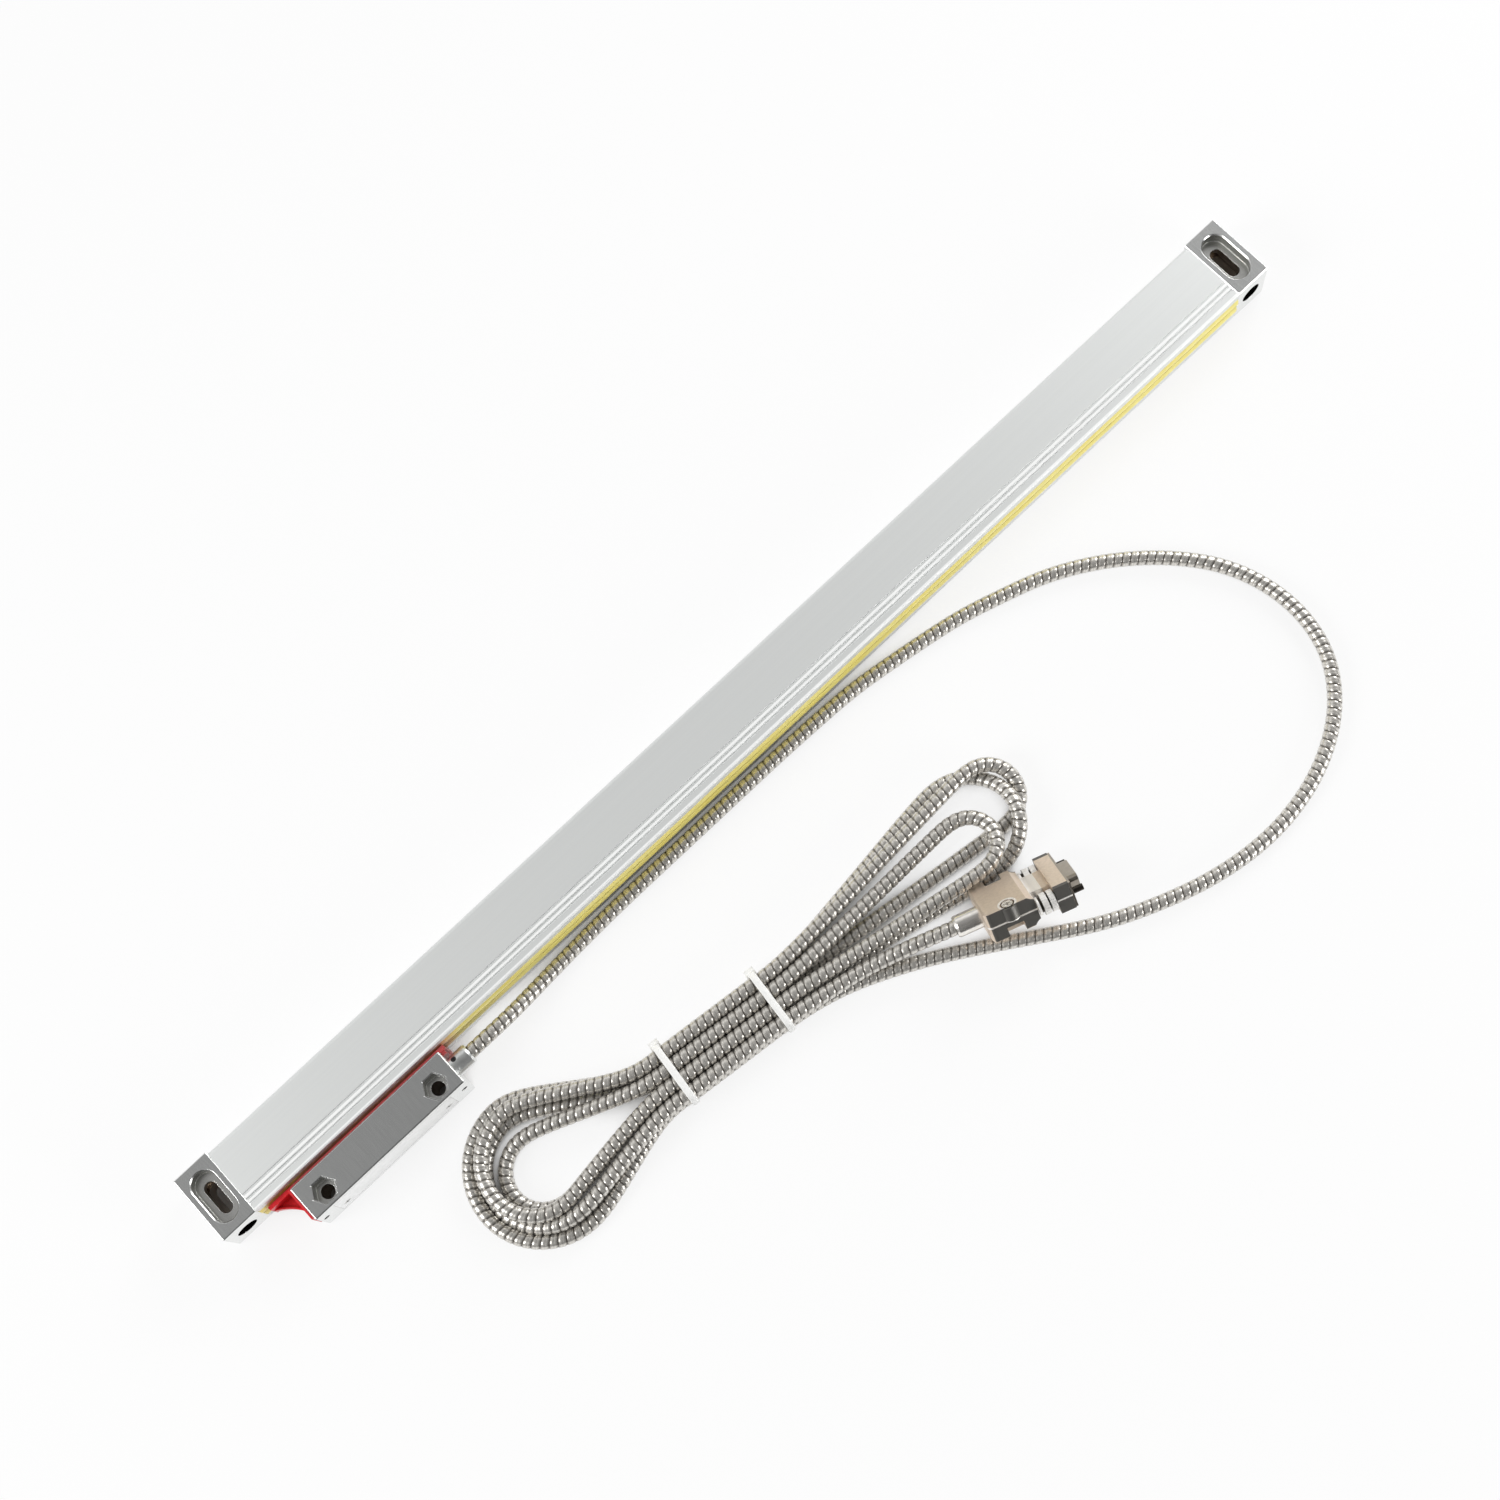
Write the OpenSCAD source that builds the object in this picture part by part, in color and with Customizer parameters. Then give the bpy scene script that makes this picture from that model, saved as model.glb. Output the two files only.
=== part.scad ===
// Enclosed linear glass scale: an aluminium rail that holds a ruled glass strip,
// and a reading head that slides along it on an armoured signal cable.
// X runs along the rail, the reading head is on the -Y side, and z = 0 is the mounting face.

/* [Rail] */
// Length that the scale can measure
measuring_l = 500; // [300:10:1200]
// Rail beyond the measured length, at each end
end_run = 52; // [50:1:90]
// Length of one end block
block_l = 19; // [18.5:0.5:30]
// Depth of the rail, front to back
rail_w = 35; // [33:0.5:48]
// Height of the rail above its mounting face
rail_h = 25; // [24.5:0.5:34]
// How far the extrusion's back stands in from the end blocks
back_inset = 1; // [0:0.1:2]
// Wall of the extrusion
wall = 2.6; // [2.2:0.1:3.1]
// Front wall, which holds the sealing lips
front_wall = 3.4; // [3.4:0.1:4.2]
// Height of the long opening in the front wall
lip_opening = 14.4; // [12:0.1:16]
// Width of the groove that grips a lip's root
lip_groove_w = 1.6; // [1.4:0.1:2]
// Depth of that groove
lip_groove_d = 1.6; // [1.2:0.1:2]
// Slit between the two lips
lip_slit = 1; // [0.9:0.1:1.6]
// How far the lips bulge out of the rail
lip_bulge = 0.9; // [0.4:0.1:1.4]

/* [End blocks] */
// Length of the upright mounting slot, across the rail
slot_l = 16.8; // [14:0.1:20]
// Width of that slot
slot_w = 6.2; // [4.5:0.1:6.6]
// Length of the slot's counterbore
slot_cbore_l = 25.9; // [22:0.1:28]
// Width of the slot's counterbore
slot_cbore_w = 12.3; // [10:0.1:13]
// Depth of the counterbores
cbore_d = 6.5; // [4:0.1:8]
// Diameter of the level mounting hole
side_hole_d = 6.5; // [4.5:0.1:7]
// Diameter of that hole's counterbore
side_cbore_d = 10.4; // [9:0.1:11]
// Length of the tongue that plugs into the rail
spigot_l = 4; // [3:0.5:8]

/* [Glass] */
// Thickness of the glass scale
glass_t = 3; // [2.6:0.1:3.6]
// Glass beyond the measured length, at each end
glass_run = 35; // [34:1:40]

/* [Reading head] */
// Length of the head's block
head_l = 87; // [84:1:110]
// Depth of the head's block
head_d = 18; // [17:0.5:22]
// Height of the head's block
head_h = 25; // [24:0.5:32]
// Gap between the rail and the head
head_gap = 3.3; // [2.8:0.1:4]
// Distance from the rail's end to the middle of the head at rest
head_from_end = 60; // [59:1:90]
// Distance between the two mounting holes
hole_pitch = 65; // [62:0.5:72]
// Diameter of a mounting hole
head_hole_d = 6.6; // [4.5:0.1:7]
// Nut pocket across its flats
pocket_af = 10.2; // [8:0.1:10.4]
// Depth of a nut pocket
pocket_d = 7.5; // [5:0.1:9]
// Width of the arm that passes between the lips
arm_w = 32; // [28:1:34]
// Thickness of that arm
arm_t = 0.8; // [0.6:0.1:0.8]

/* [Carriage] */
// Length of the carriage inside the rail
carriage_l = 50; // [46:1:56]
// Diameter of a guide roller
roller_d = 5; // [4.6:0.1:5.4]
// Width of a guide roller
roller_w = 2.4; // [2:0.1:2.6]
// Diameter of a roller's pin
pin_d = 2; // [1.6:0.1:2.2]

/* [Cable] */
// Diameter of the armoured hose
hose_d = 7; // [6:0.5:7]
// Diameter of the gland that holds the hose in the head
gland_d = 10; // [9.4:0.1:11]
// Length of the gland outside the head
gland_l = 9.5; // [9:0.5:14]

/* [Plug] */
// Length of the metal hood
hood_l = 39.4; // [36:0.2:46]
// Width of the hood at its front collar
hood_w = 31.4; // [31:0.2:33]
// Thickness of the hood
hood_t = 14.6; // [14:0.2:17]
// Distance from the middle to each thumbscrew
screw_side = 12.5; // [12.4:0.05:12.6]

/* [Hidden] */

$fn = 48;
// Clearances: a fixed fit, a turning fit, a pin pressed in, and free air
fit = 0.1;
turn_fit = 0.05;
press_fit = 0.02;
free = 0.2;
eps = 0.01;

// Rail planes
housing_l = measuring_l + 2 * end_run;
housing_end = housing_l / 2;
front_y = -rail_w / 2;
back_y = rail_w / 2 - back_inset;
cavity_front = front_y + front_wall;
cavity_back = back_y - wall;
cavity_top = rail_h - wall;
mid_z = rail_h / 2;
// Screw bosses in the rail's two lower corners, M3
boss_r = 2.6;
m3_r = 1.5;
m3_head_r = 2.75;
m3_head_h = 3;
end_screw_l = 30;
boss_in = 2.1;
boss_z = wall + 1.7;
boss_ys = [cavity_front + boss_in, cavity_back - boss_in + 0.2];

// Glass and its ledge
bond_t = 0.4;
ledge_w = 5.4;
ledge_t = 1.6;
glass_edge_gap = 1.4;
glass_z0 = mid_z - glass_t / 2;
glass_z1 = glass_z0 + glass_t;
ledge_y = cavity_back - ledge_w;
glass_back = cavity_back - glass_edge_gap;

// Head planes
head_x = -housing_end + head_from_end;
head_back = front_y - head_gap;
head_front = head_back - head_d;
hole_y = head_front + 7.3;
head_cavity_w = 48;
head_cavity_h = 15;
head_wall = 4.2;
head_wall_y = head_back - head_wall;
cover_l = 68;
cover_h = 19;
cover_t = 1.2;
cover_screw_side = 30;
cover_screw_z = mid_z - 3.2;
cover_head_r = 1.9;
m2_r = 1;
m2_head_r = 1.9;
m2_head_h = 1.3;
set_screw_side = head_l / 2 - 2.9;
set_screw_r = 1.5;
set_screw_l = 5;
arm_z0 = mid_z - arm_t / 2;
arm_z1 = arm_z0 + arm_t;
arm_tip = cavity_front + 0.5;
arm_foot_h = 6.4;
arm_screw_side = 10;
arm_screw_z = arm_z0 - 3;
ribbon_w = 8;
ribbon_t = 0.15;
ribbon_z = arm_z1 - 0.1;

// Gland and the wires behind it
gland_y = head_front + 10.3;
gland_z = mid_z + 1.5;
gland_x = head_x + head_l / 2;
gland_spigot_r = 4;
gland_spigot_l = 4;
gland_end = gland_x + gland_l;
hose_seat = 8.7;
wire_r = 1.1;
wire_y = head_wall_y - wire_r - fit;
socket_from = 16.5;
socket_to = 22;

// Signal board inside the head
board_t = 1.6;
board_y = head_wall_y - 4.4;
board_w = 45;
board_h = 13;
board_post_side = 20;
board_post_z = mid_z - 4;
board_post_r = 2;

// Carriage planes
spine_t = 3.7;
spine_front = cavity_front + 1.8;
spine_back = spine_front + spine_t;
carriage_arm_t = 2.5;
carriage_shelf_t = 1.6;
lamp_drop = 4.9;
arm_under_z = glass_z1 + lamp_drop;
carriage_top = arm_under_z + carriage_arm_t;
shelf_top = glass_z0 - 2;
carriage_bottom = shelf_top - carriage_shelf_t;
roll_gap = 0.2;
roller_r = roller_d / 2;
pin_r = pin_d / 2;
lug_l = 4.4;
lug_t = 1.4;
lug_gap = 0.3;
face_roller_side = 20;
face_roller_y = ledge_y - 5;
face_roller_z = glass_z1 + roll_gap + roller_r;
edge_roller_side = 16;
edge_roller_y = spine_back + 0.4 + roller_r;
glass_front = edge_roller_y + roller_r + roll_gap;
lug_reach = 1.8;
spring_t = 0.25;
spring_w = 3;

// Cable: points from the gland's mouth, x and y along and across the rail, z above the floor
hose_r = hose_d / 2;
floor_z = hose_r;
hose_sides = 10;
lead_route = [
    [-hose_seat, 0, gland_z], [0, 0, gland_z], [10, 0, gland_z - 0.1], [25, 0.6, 11.6],
    [40, 2.5, 7], [56, 4, 4.4], [75, 5, floor_z], [100, 5.5, floor_z], [130, 5.5, floor_z],
    [160, 5.5, floor_z], [190, 5.5, floor_z], [215, 5, floor_z], [238, 4, floor_z],
    [257, 1.5, floor_z], [276, -1.5, floor_z], [297, -5.5, floor_z], [317, -11.5, floor_z],
    [336, -18, floor_z], [355, -28, floor_z], [372, -40.5, floor_z], [387, -55.5, floor_z],
    [399, -73, floor_z], [406, -94, floor_z], [406.5, -116, floor_z], [400, -136, floor_z],
    [386, -153, floor_z], [367, -165, floor_z], [345, -172, floor_z], [320, -174, floor_z],
    [292, -170, floor_z], [266, -161.5, floor_z], [242, -150.5, floor_z],
    [221, -137.5, floor_z], [201, -124.5, floor_z], [180, -111.5, floor_z],
    [160, -101, floor_z], [140, -92.5, floor_z], [121, -87.5, floor_z]];
lead_steps = 2;
tail_steps = 2;
tube_bore = hose_r + free;
lead_at = [gland_end, gland_y, 0];

// Hank: four round stations that its outline wraps, from the same mouth
tie_w = 3.3;
tie_t = 1;
hank_h = 2 * hose_d + tie_t;
hank_stations = [
    [[-10, -57.5], 37.2],
    [[59.5, -69.5], 13.4],
    [[112, -75.5], 13.4],
    [[236, -77.5], 24]];
tie_angles = [-5, -8];
tie_lock = 5;
tie_room = 1.2;

// Plug: the middle of its mating face, its heading and its roll
plug_at = [240.8, -125.7, 16.3];
plug_yaw = -19.4;
plug_roll = -50;
body_half_w = 14.2;
rear_round = 3;
collar_t = 13;
waist_half_w = 7.4;
waist_t = 9.6;
notch_from = -16.2;
notch_to = -7;
scoop_end = -14.4;
scoop_r = 6;
parting_bevel = 0.5;
ferrule_r = 5;
ferrule_l = 12;
ferrule_in = 4;
plate_t = 1;
plate_w = 30.8;
plate_h = 12.5;
shell_wall = 0.5;
shell_l = 5;
shell_w = 17;
shell_h = 8.3;
thumb_r = 4.9;
thumb_l = 8.3;
thumb_shank_r = 1.5;
thumb_tip = 6;
hood_wall = 1.6;
hood_room_w = 12.6;
hood_room_t = 7.6;
hood_screw_u = -27.5;
hood_screw_w = 11.7;
hood_boss_r = 4.1;
hood_sink_r = 3.4;
hood_head_r = 2.6;
pocket_w = 9.4;
pocket_l = 8;
pocket_z = 2.7;
pin_pitch = 2.77;
pin_row = 2.84;

// ---------- shapes that repeat ----------

// Extrudes a profile drawn in the Y-Z plane along X
module along_x(l) rotate([90, 0, 90]) linear_extrude(l) children();

// A box between two corners
module span(a, b) translate(a) cube(b - a);

// A rectangle about the origin with its corners cut off
module cut_rect(w, h, c) polygon([
    [-w / 2 + c, -h / 2], [w / 2 - c, -h / 2], [w / 2, -h / 2 + c], [w / 2, h / 2 - c],
    [w / 2 - c, h / 2], [-w / 2 + c, h / 2], [-w / 2, h / 2 - c], [-w / 2, -h / 2 + c]]);

// A block between two corners with every edge chamfered
module chamfer_block(a, b, c) {
    s = b - a;
    translate((a + b) / 2) intersection() {
        translate([0, 0, -s.z / 2]) linear_extrude(s.z) cut_rect(s.x, s.y, c);
        translate([-s.x / 2, 0, 0]) along_x(s.x) cut_rect(s.y, s.z, c);
        translate([0, s.y / 2, 0]) rotate([90, 0, 0]) linear_extrude(s.y) cut_rect(s.x, s.z, c);
    }
}

// A long hole about the origin, its length along Y
module slot2d(l, w) {
    square([w, l - w], center = true);
    for (s = [-1, 1]) translate([0, s * (l - w) / 2]) circle(d = w);
}

// The same long hole with a rim that opens by c over a depth c, ending at z = 0
module slot_chamfer(l, w, c) {
    for (s = [-1, 1]) translate([0, s * (l - w) / 2, -c])
        cylinder(h = c + eps, r1 = w / 2, r2 = w / 2 + c + eps);
    translate([0, (l - w) / 2, 0]) rotate([90, 0, 0]) linear_extrude(l - w)
        polygon([[-w / 2, -c], [w / 2, -c], [w / 2 + c + eps, eps], [-w / 2 - c - eps, eps]]);
}

// A cylinder along Y from y0 to y1
module rod_y(r, y0, y1) translate([0, y1, 0]) rotate([90, 0, 0]) cylinder(h = y1 - y0, r = r);

// A cylinder along X from x0 to x1
module rod_x(r, x0, x1) translate([x0, 0, 0]) rotate([0, 90, 0]) cylinder(h = x1 - x0, r = r);

// A strip of thickness t that follows points in a plane
function strip_side(p, t) = [for (i = [0 : len(p) - 1])
    let (a = p[max(i - 1, 0)], b = p[min(i + 1, len(p) - 1)], d = (b - a) / norm(b - a),
         e = i == 0 || i == len(p) - 1 ? d : (p[i] - a) / norm(p[i] - a),
         k = 1 / max(0.7, d * e))
    p[i] + k * t / 2 * [-d.y, d.x]];
function reversed(p) = [for (i = [len(p) - 1 : -1 : 0]) p[i]];
module strip2d(p, t) polygon(concat(strip_side(p, t), reversed(strip_side(p, -t))));

// Smooth points through a route, n steps between each pair
function curve_at(a, b, c, d, t) = 0.5 * (2 * b + t * (c - a)
    + t * t * (2 * a - 5 * b + 4 * c - d) + t * t * t * (3 * b - a - 3 * c + d));
function smooth(p, n) = concat([for (i = [0 : len(p) - 2], k = [0 : n - 1])
    curve_at(p[max(i - 1, 0)], p[i], p[i + 1], p[min(i + 2, len(p) - 1)], k / n)],
    [p[len(p) - 1]]);

// A round tube swept along points: each ring stands across the route
function ring(p, d, r, n) = let (side = cross(d, [0, 0, 1]) / norm(cross(d, [0, 0, 1])),
    up = cross(side, d)) [for (k = [0 : n - 1])
    p + r * (side * cos(360 * (k + 0.5) / n) + up * sin(360 * (k + 0.5) / n))];
module swept_tube(p, r, n) {
    m = len(p);
    rings = [for (i = [0 : m - 1]) let (d = p[min(i + 1, m - 1)] - p[max(i - 1, 0)])
        each ring(p[i], d / norm(d), r, n)];
    sides = [for (i = [0 : m - 2], k = [0 : n - 1]) let (j = (k + 1) % n)
        each [[i * n + k, i * n + j, (i + 1) * n + j], [i * n + k, (i + 1) * n + j, (i + 1) * n + k]]];
    polyhedron(rings, concat(sides, [[for (k = [n - 1 : -1 : 0]) k]],
        [[for (k = [0 : n - 1]) (m - 1) * n + k]]), convexity = 10);
}

// The quadrilateral that touches two circles, which with them makes a belt outline
module belt_link(c1, r1, c2, r2) {
    d = c2 - c1;
    t = atan2(d.y, d.x);
    a = acos((r1 - r2) / norm(d));
    polygon([for (q = [[c1, r1, a], [c1, r1, -a], [c2, r2, -a], [c2, r2, a]])
        q[0] + (q[1] - eps) * [cos(t + q[2]), sin(t + q[2])]]);
}

// A screw along +Z: the top of its head at z = 0, a cross recess in the head
module pan_screw(shank_r, shank_l, head_r, head_h) {
    difference() {
        translate([0, 0, -head_h]) cylinder(h = head_h, r = head_r);
        for (q = [0, 90]) rotate(q) translate([-head_r * 0.6, -head_r * 0.13, -head_h * 0.5])
            cube([head_r * 1.2, head_r * 0.26, head_h]);
    }
    translate([0, 0, -head_h - shank_l]) cylinder(h = shank_l, r = shank_r);
}

// A headless screw with a hexagon socket, its top at z = 0
module grub_screw(r, l) difference() {
    translate([0, 0, -l]) cylinder(h = l, r = r);
    translate([0, 0, -l * 0.4]) cylinder(h = l, r = r * 0.55, $fn = 6);
}

// ---------- rail ----------

// Fine lines along the top of the rail: a bead, two grooves and a bevelled edge
module top_lines() {
    for (y = [6.4, 4.2]) translate([front_y + y, rail_h + 0.1]) circle(r = 0.55, $fn = 24);
    translate([front_y + 9.2, rail_h + 0.15]) circle(r = 0.45, $fn = 24);
}

module rail_outline() {
    edge = 2;
    bevel = 0.6;
    foot = 0.8;
    difference() {
        polygon([[front_y, foot], [front_y + foot, 0], [back_y - foot, 0], [back_y, foot],
                 [back_y, rail_h - edge], [back_y - edge, rail_h],
                 [front_y + bevel, rail_h], [front_y, rail_h - bevel]]);
        top_lines();
    }
    translate([back_y - edge, rail_h - edge]) circle(r = edge);
}

module lip_groove_2d() for (s = [-1, 1])
    translate([front_y + 1.2, mid_z + s * (lip_opening / 2 + lip_groove_d / 2) - (lip_groove_d / 2)])
        square([lip_groove_w, lip_groove_d]);

module housing_extrusion() color([0.80, 0.81, 0.79]) difference() {
    translate([-housing_end, 0, 0]) along_x(housing_l) {
        difference() {
            rail_outline();
            translate([cavity_front, wall]) square([cavity_back - cavity_front, cavity_top - wall]);
            translate([front_y - 1, mid_z - lip_opening / 2])
                square([front_wall + 2, lip_opening]);
            lip_groove_2d();
        }
        difference() {
            for (y = boss_ys) translate([y, boss_z]) circle(r = boss_r);
            translate([front_y - 1, mid_z - lip_opening / 2])
                square([cavity_front - front_y + 1, lip_opening]);
            lip_groove_2d();
        }
        translate([ledge_y, glass_z0 - bond_t - ledge_t])
            square([ledge_w + eps, ledge_t]);
    }
    for (s = [-1, 1], y = boss_ys) translate([s * (housing_end - end_screw_l / 2), y, boss_z])
        rod_x(m3_r + turn_fit, -end_screw_l / 2 - 1, end_screw_l / 2 + 1);
}

// The seal's root bead sits in the groove, and its face bows out and down to the slit
module lip_profile() {
    root_y = front_y + 1.2 + turn_fit;
    top = mid_z + lip_opening / 2 - turn_fit;
    low = mid_z + lip_slit / 2;
    n = 10;
    face = [for (i = [0 : n]) let (s = i / n)
        [front_y + 0.2 - lip_bulge * sin(8 + 155 * s), top + s * (low - top)]];
    inner = [for (i = [n : -1 : 0]) let (s = i / n, t = 2.5 - 1.6 * min(1, 2.4 * s))
        face[i] + [t, 0]];
    polygon(concat(face, inner));
    translate([root_y, top - eps])
        square([lip_groove_w - 2 * turn_fit, lip_groove_d - turn_fit + eps]);
}

module upper_lip_seal() color([0.86, 0.80, 0.48]) translate([-housing_end, 0, 0])
    along_x(housing_l) lip_profile();

module lower_lip_seal() color([0.86, 0.80, 0.48]) translate([0, 0, rail_h]) mirror([0, 0, 1])
    translate([-housing_end, 0, 0]) along_x(housing_l) lip_profile();

// ---------- end blocks ----------

gasket_t = 0.8;
gasket_in = 1.6;

// Outline of the tongue that plugs into the rail, clear of the bosses and the glass ledge
module tongue_2d(grow) translate([cavity_front + free - grow, boss_z + boss_r + free - grow])
    square([ledge_y - cavity_front - 2 * free + 2 * grow,
            cavity_top - boss_z - boss_r - 2 * free + 2 * grow]);

module gasket_2d() difference() {
    translate([front_y + gasket_in, gasket_in])
        square([back_y - front_y - 2 * gasket_in, rail_h - 2 * gasket_in]);
    tongue_2d(fit);
    for (y = boss_ys) translate([y, boss_z]) circle(r = m3_r + free);
}

// Built for the +X end, with the block's inner face at the rail's end
module end_block() difference() {
    union() {
        chamfer_block([housing_end, front_y, 0], [housing_end + block_l, -front_y, rail_h], 0.4);
        translate([housing_end - spigot_l, 0, 0]) along_x(spigot_l + 1) tongue_2d(0);
    }
    translate([housing_end - eps, 0, 0]) along_x(gasket_t + eps) difference() {
        translate([front_y + gasket_in - fit, gasket_in - fit])
            square([back_y - front_y - 2 * gasket_in + 2 * fit, rail_h - 2 * gasket_in + 2 * fit]);
        tongue_2d(eps);
    }
    translate([housing_end + block_l / 2, 0, 0]) {
        translate([0, 0, -1]) linear_extrude(rail_h + 2) slot2d(slot_l, slot_w);
        translate([0, 0, rail_h - cbore_d]) linear_extrude(cbore_d + 1)
            slot2d(slot_cbore_l, slot_cbore_w);
        translate([0, 0, rail_h]) slot_chamfer(slot_cbore_l, slot_cbore_w, 0.5);
        translate([0, 0, mid_z]) {
            rod_y(side_hole_d / 2, front_y - 1, -front_y + 1);
            rod_y(side_cbore_d / 2, front_y - 1, front_y + cbore_d);
        }
    }
    for (y = boss_ys) translate([0, y, boss_z]) {
        rod_x(m3_r + turn_fit, housing_end - 1, housing_end + block_l + 1);
        rod_x(m3_head_r + free, housing_end + block_l - m3_head_h, housing_end + block_l + 1);
    }
}

module left_end_block() color([0.66, 0.67, 0.66]) mirror([1, 0, 0]) end_block();
module right_end_block() color([0.66, 0.67, 0.66]) end_block();

module gasket() translate([housing_end, 0, 0]) along_x(gasket_t) gasket_2d();
module left_gasket() color([0.12, 0.12, 0.12]) mirror([1, 0, 0]) gasket();
module right_gasket() color([0.12, 0.12, 0.12]) gasket();

module end_block_screws() color([0.7, 0.7, 0.7]) for (s = [0, 1], y = boss_ys)
    mirror([s, 0, 0]) translate([housing_end + block_l, y, boss_z]) rotate([0, 90, 0])
        difference() {
            union() {
                translate([0, 0, -m3_head_h]) cylinder(h = m3_head_h, r = m3_head_r);
                translate([0, 0, -end_screw_l]) cylinder(h = end_screw_l - 1, r = m3_r);
            }
            translate([0, 0, -1.6]) cylinder(h = 2, r = 1.45, $fn = 6);
        }

// ---------- glass ----------

glass_half = measuring_l / 2 + glass_run;

module glass_scale() color([0.75, 0.88, 0.85, 0.6])
    span([-glass_half, glass_front, glass_z0], [glass_half, glass_back, glass_z1]);

module bonding_strip() color([0.9, 0.9, 0.86])
    span([-glass_half, ledge_y + 0.5, glass_z0 - bond_t], [glass_half, glass_back, glass_z0]);

// ---------- reading head ----------

module at_head() translate([head_x, 0, 0]) children();

module head_block() color([0.60, 0.62, 0.60]) at_head() difference() {
    chamfer_block([-head_l / 2, head_front, 0], [head_l / 2, head_back, head_h], 0.5);
    for (s = [-1, 1]) translate([s * hole_pitch / 2, hole_y, 0]) {
        translate([0, 0, -1]) cylinder(h = head_h + 2, d = head_hole_d);
        translate([0, 0, head_h - pocket_d])
            cylinder(h = pocket_d + 1, d = pocket_af / cos(30), $fn = 6);
        translate([0, 0, head_h - 0.5])
            cylinder(h = 1, d1 = pocket_af / cos(30) + 0.2, d2 = pocket_af / cos(30) + 2.2, $fn = 6);
    }
    span([-head_cavity_w / 2, head_front - 1, mid_z - head_cavity_h / 2],
         [head_cavity_w / 2, head_wall_y - board_step(), mid_z + head_cavity_h / 2]);
    difference() {
        span([-head_cavity_w / 2, head_wall_y - board_step() - eps, mid_z - head_cavity_h / 2],
             [head_cavity_w / 2, head_wall_y, mid_z + head_cavity_h / 2]);
        for (s = [-1, 1]) translate([s * board_post_side, 0, board_post_z])
            rod_y(board_post_r, head_wall_y - board_step() - 1, head_wall_y + 1);
    }
    span([-cover_l / 2 - fit, head_front - 1, mid_z - cover_h / 2 - fit],
         [cover_l / 2 + fit, head_front + cover_t, mid_z + cover_h / 2 + fit]);
    span([-arm_w / 2 - fit, head_wall_y - 1, arm_z0 - turn_fit],
         [arm_w / 2 + fit, head_back + 1, arm_z1 + turn_fit]);
    for (s = [-1, 1]) {
        translate([s * cover_screw_side, 0, cover_screw_z])
            rod_y(m2_r + press_fit, head_front, head_front + 3.4);
        translate([s * arm_screw_side, 0, arm_screw_z])
            rod_y(m2_r + press_fit, head_wall_y - 1, head_wall_y + 3);
        translate([s * board_post_side, 0, board_post_z])
            rod_y(m2_r + press_fit, board_y - 1, board_y + 3.2);
        translate([s * set_screw_side, 0, gland_z])
            rod_y(set_screw_r + press_fit, head_front - 1, set_screw_top() + set_screw_l + fit);
    }
    translate([0, gland_y, gland_z])
        rod_x(gland_spigot_r + turn_fit, head_l / 2 - gland_spigot_l - fit, head_l / 2 + 1);
    translate([0, wire_y, gland_z])
        rod_x(wire_r + free, head_cavity_w / 2 - 1, head_l / 2 - gland_spigot_l);
}

// Depth from the head's inner wall to the signal board
function board_step() = head_wall_y - board_y;
// Where a set screw's outer end lies, so that its inner end meets the gland's spigot
function set_screw_top() = gland_y - gland_spigot_r - fit - set_screw_l;

module side_cover() color([0.83, 0.84, 0.83]) at_head() difference() {
    span([-cover_l / 2, head_front, mid_z - cover_h / 2],
         [cover_l / 2, head_front + cover_t, mid_z + cover_h / 2]);
    for (s = [-1, 1]) translate([s * cover_screw_side, head_front, cover_screw_z])
        rotate([-90, 0, 0]) translate([0, 0, -eps])
            cylinder(h = cover_t + 2 * eps, r1 = cover_head_r + turn_fit, r2 = m2_r + turn_fit);
}

module cover_screws() color([0.75, 0.75, 0.74]) at_head() for (s = [-1, 1])
    translate([s * cover_screw_side, head_front, cover_screw_z]) rotate([-90, 0, 0]) difference() {
        union() {
            cylinder(h = cover_t, r1 = cover_head_r, r2 = m2_r);
            translate([0, 0, cover_t]) cylinder(h = 1.8, r = m2_r);
        }
        for (q = [0, 90]) rotate(q) translate([-1.2, -0.25, -0.5]) cube([2.4, 0.5, 1.1]);
    }

module head_set_screws() color([0.3, 0.3, 0.3]) at_head() for (s = [-1, 1])
    translate([s * set_screw_side, set_screw_top(), gland_z]) rotate([90, 0, 0])
        grub_screw(set_screw_r, set_screw_l);

module signal_board() color([0.13, 0.40, 0.24]) at_head() {
    difference() {
        span([-board_w / 2, board_y - board_t, mid_z - board_h / 2],
             [board_w / 2, board_y, mid_z + board_h / 2]);
        for (s = [-1, 1]) translate([s * board_post_side, 0, board_post_z])
            rod_y(m2_r + fit, board_y - board_t - 1, board_y + 1);
    }
    for (c = [[-11, 1, 9, 7], [1, 2, 6, 5], [9, -1, 4, 4]])
        span([c[0] - c[2] / 2, board_y - board_t - 1.3, mid_z + c[1] - c[3] / 2],
             [c[0] + c[2] / 2, board_y - board_t, mid_z + c[1] + c[3] / 2]);
    span([socket_from, board_y, gland_z - 1.6], [socket_to, wire_y + 1, gland_z + 1.6]);
}

module board_screws() color([0.75, 0.75, 0.74]) at_head() for (s = [-1, 1])
    translate([s * board_post_side, board_y - board_t - m2_head_h, board_post_z])
        rotate([90, 0, 0]) pan_screw(m2_r, board_t + 2.6, m2_head_r, m2_head_h);

module wire_bundle() color([0.15, 0.15, 0.15]) at_head() translate([0, wire_y, gland_z])
    rod_x(wire_r, socket_to, head_l / 2 - gland_spigot_l - fit);

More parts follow.
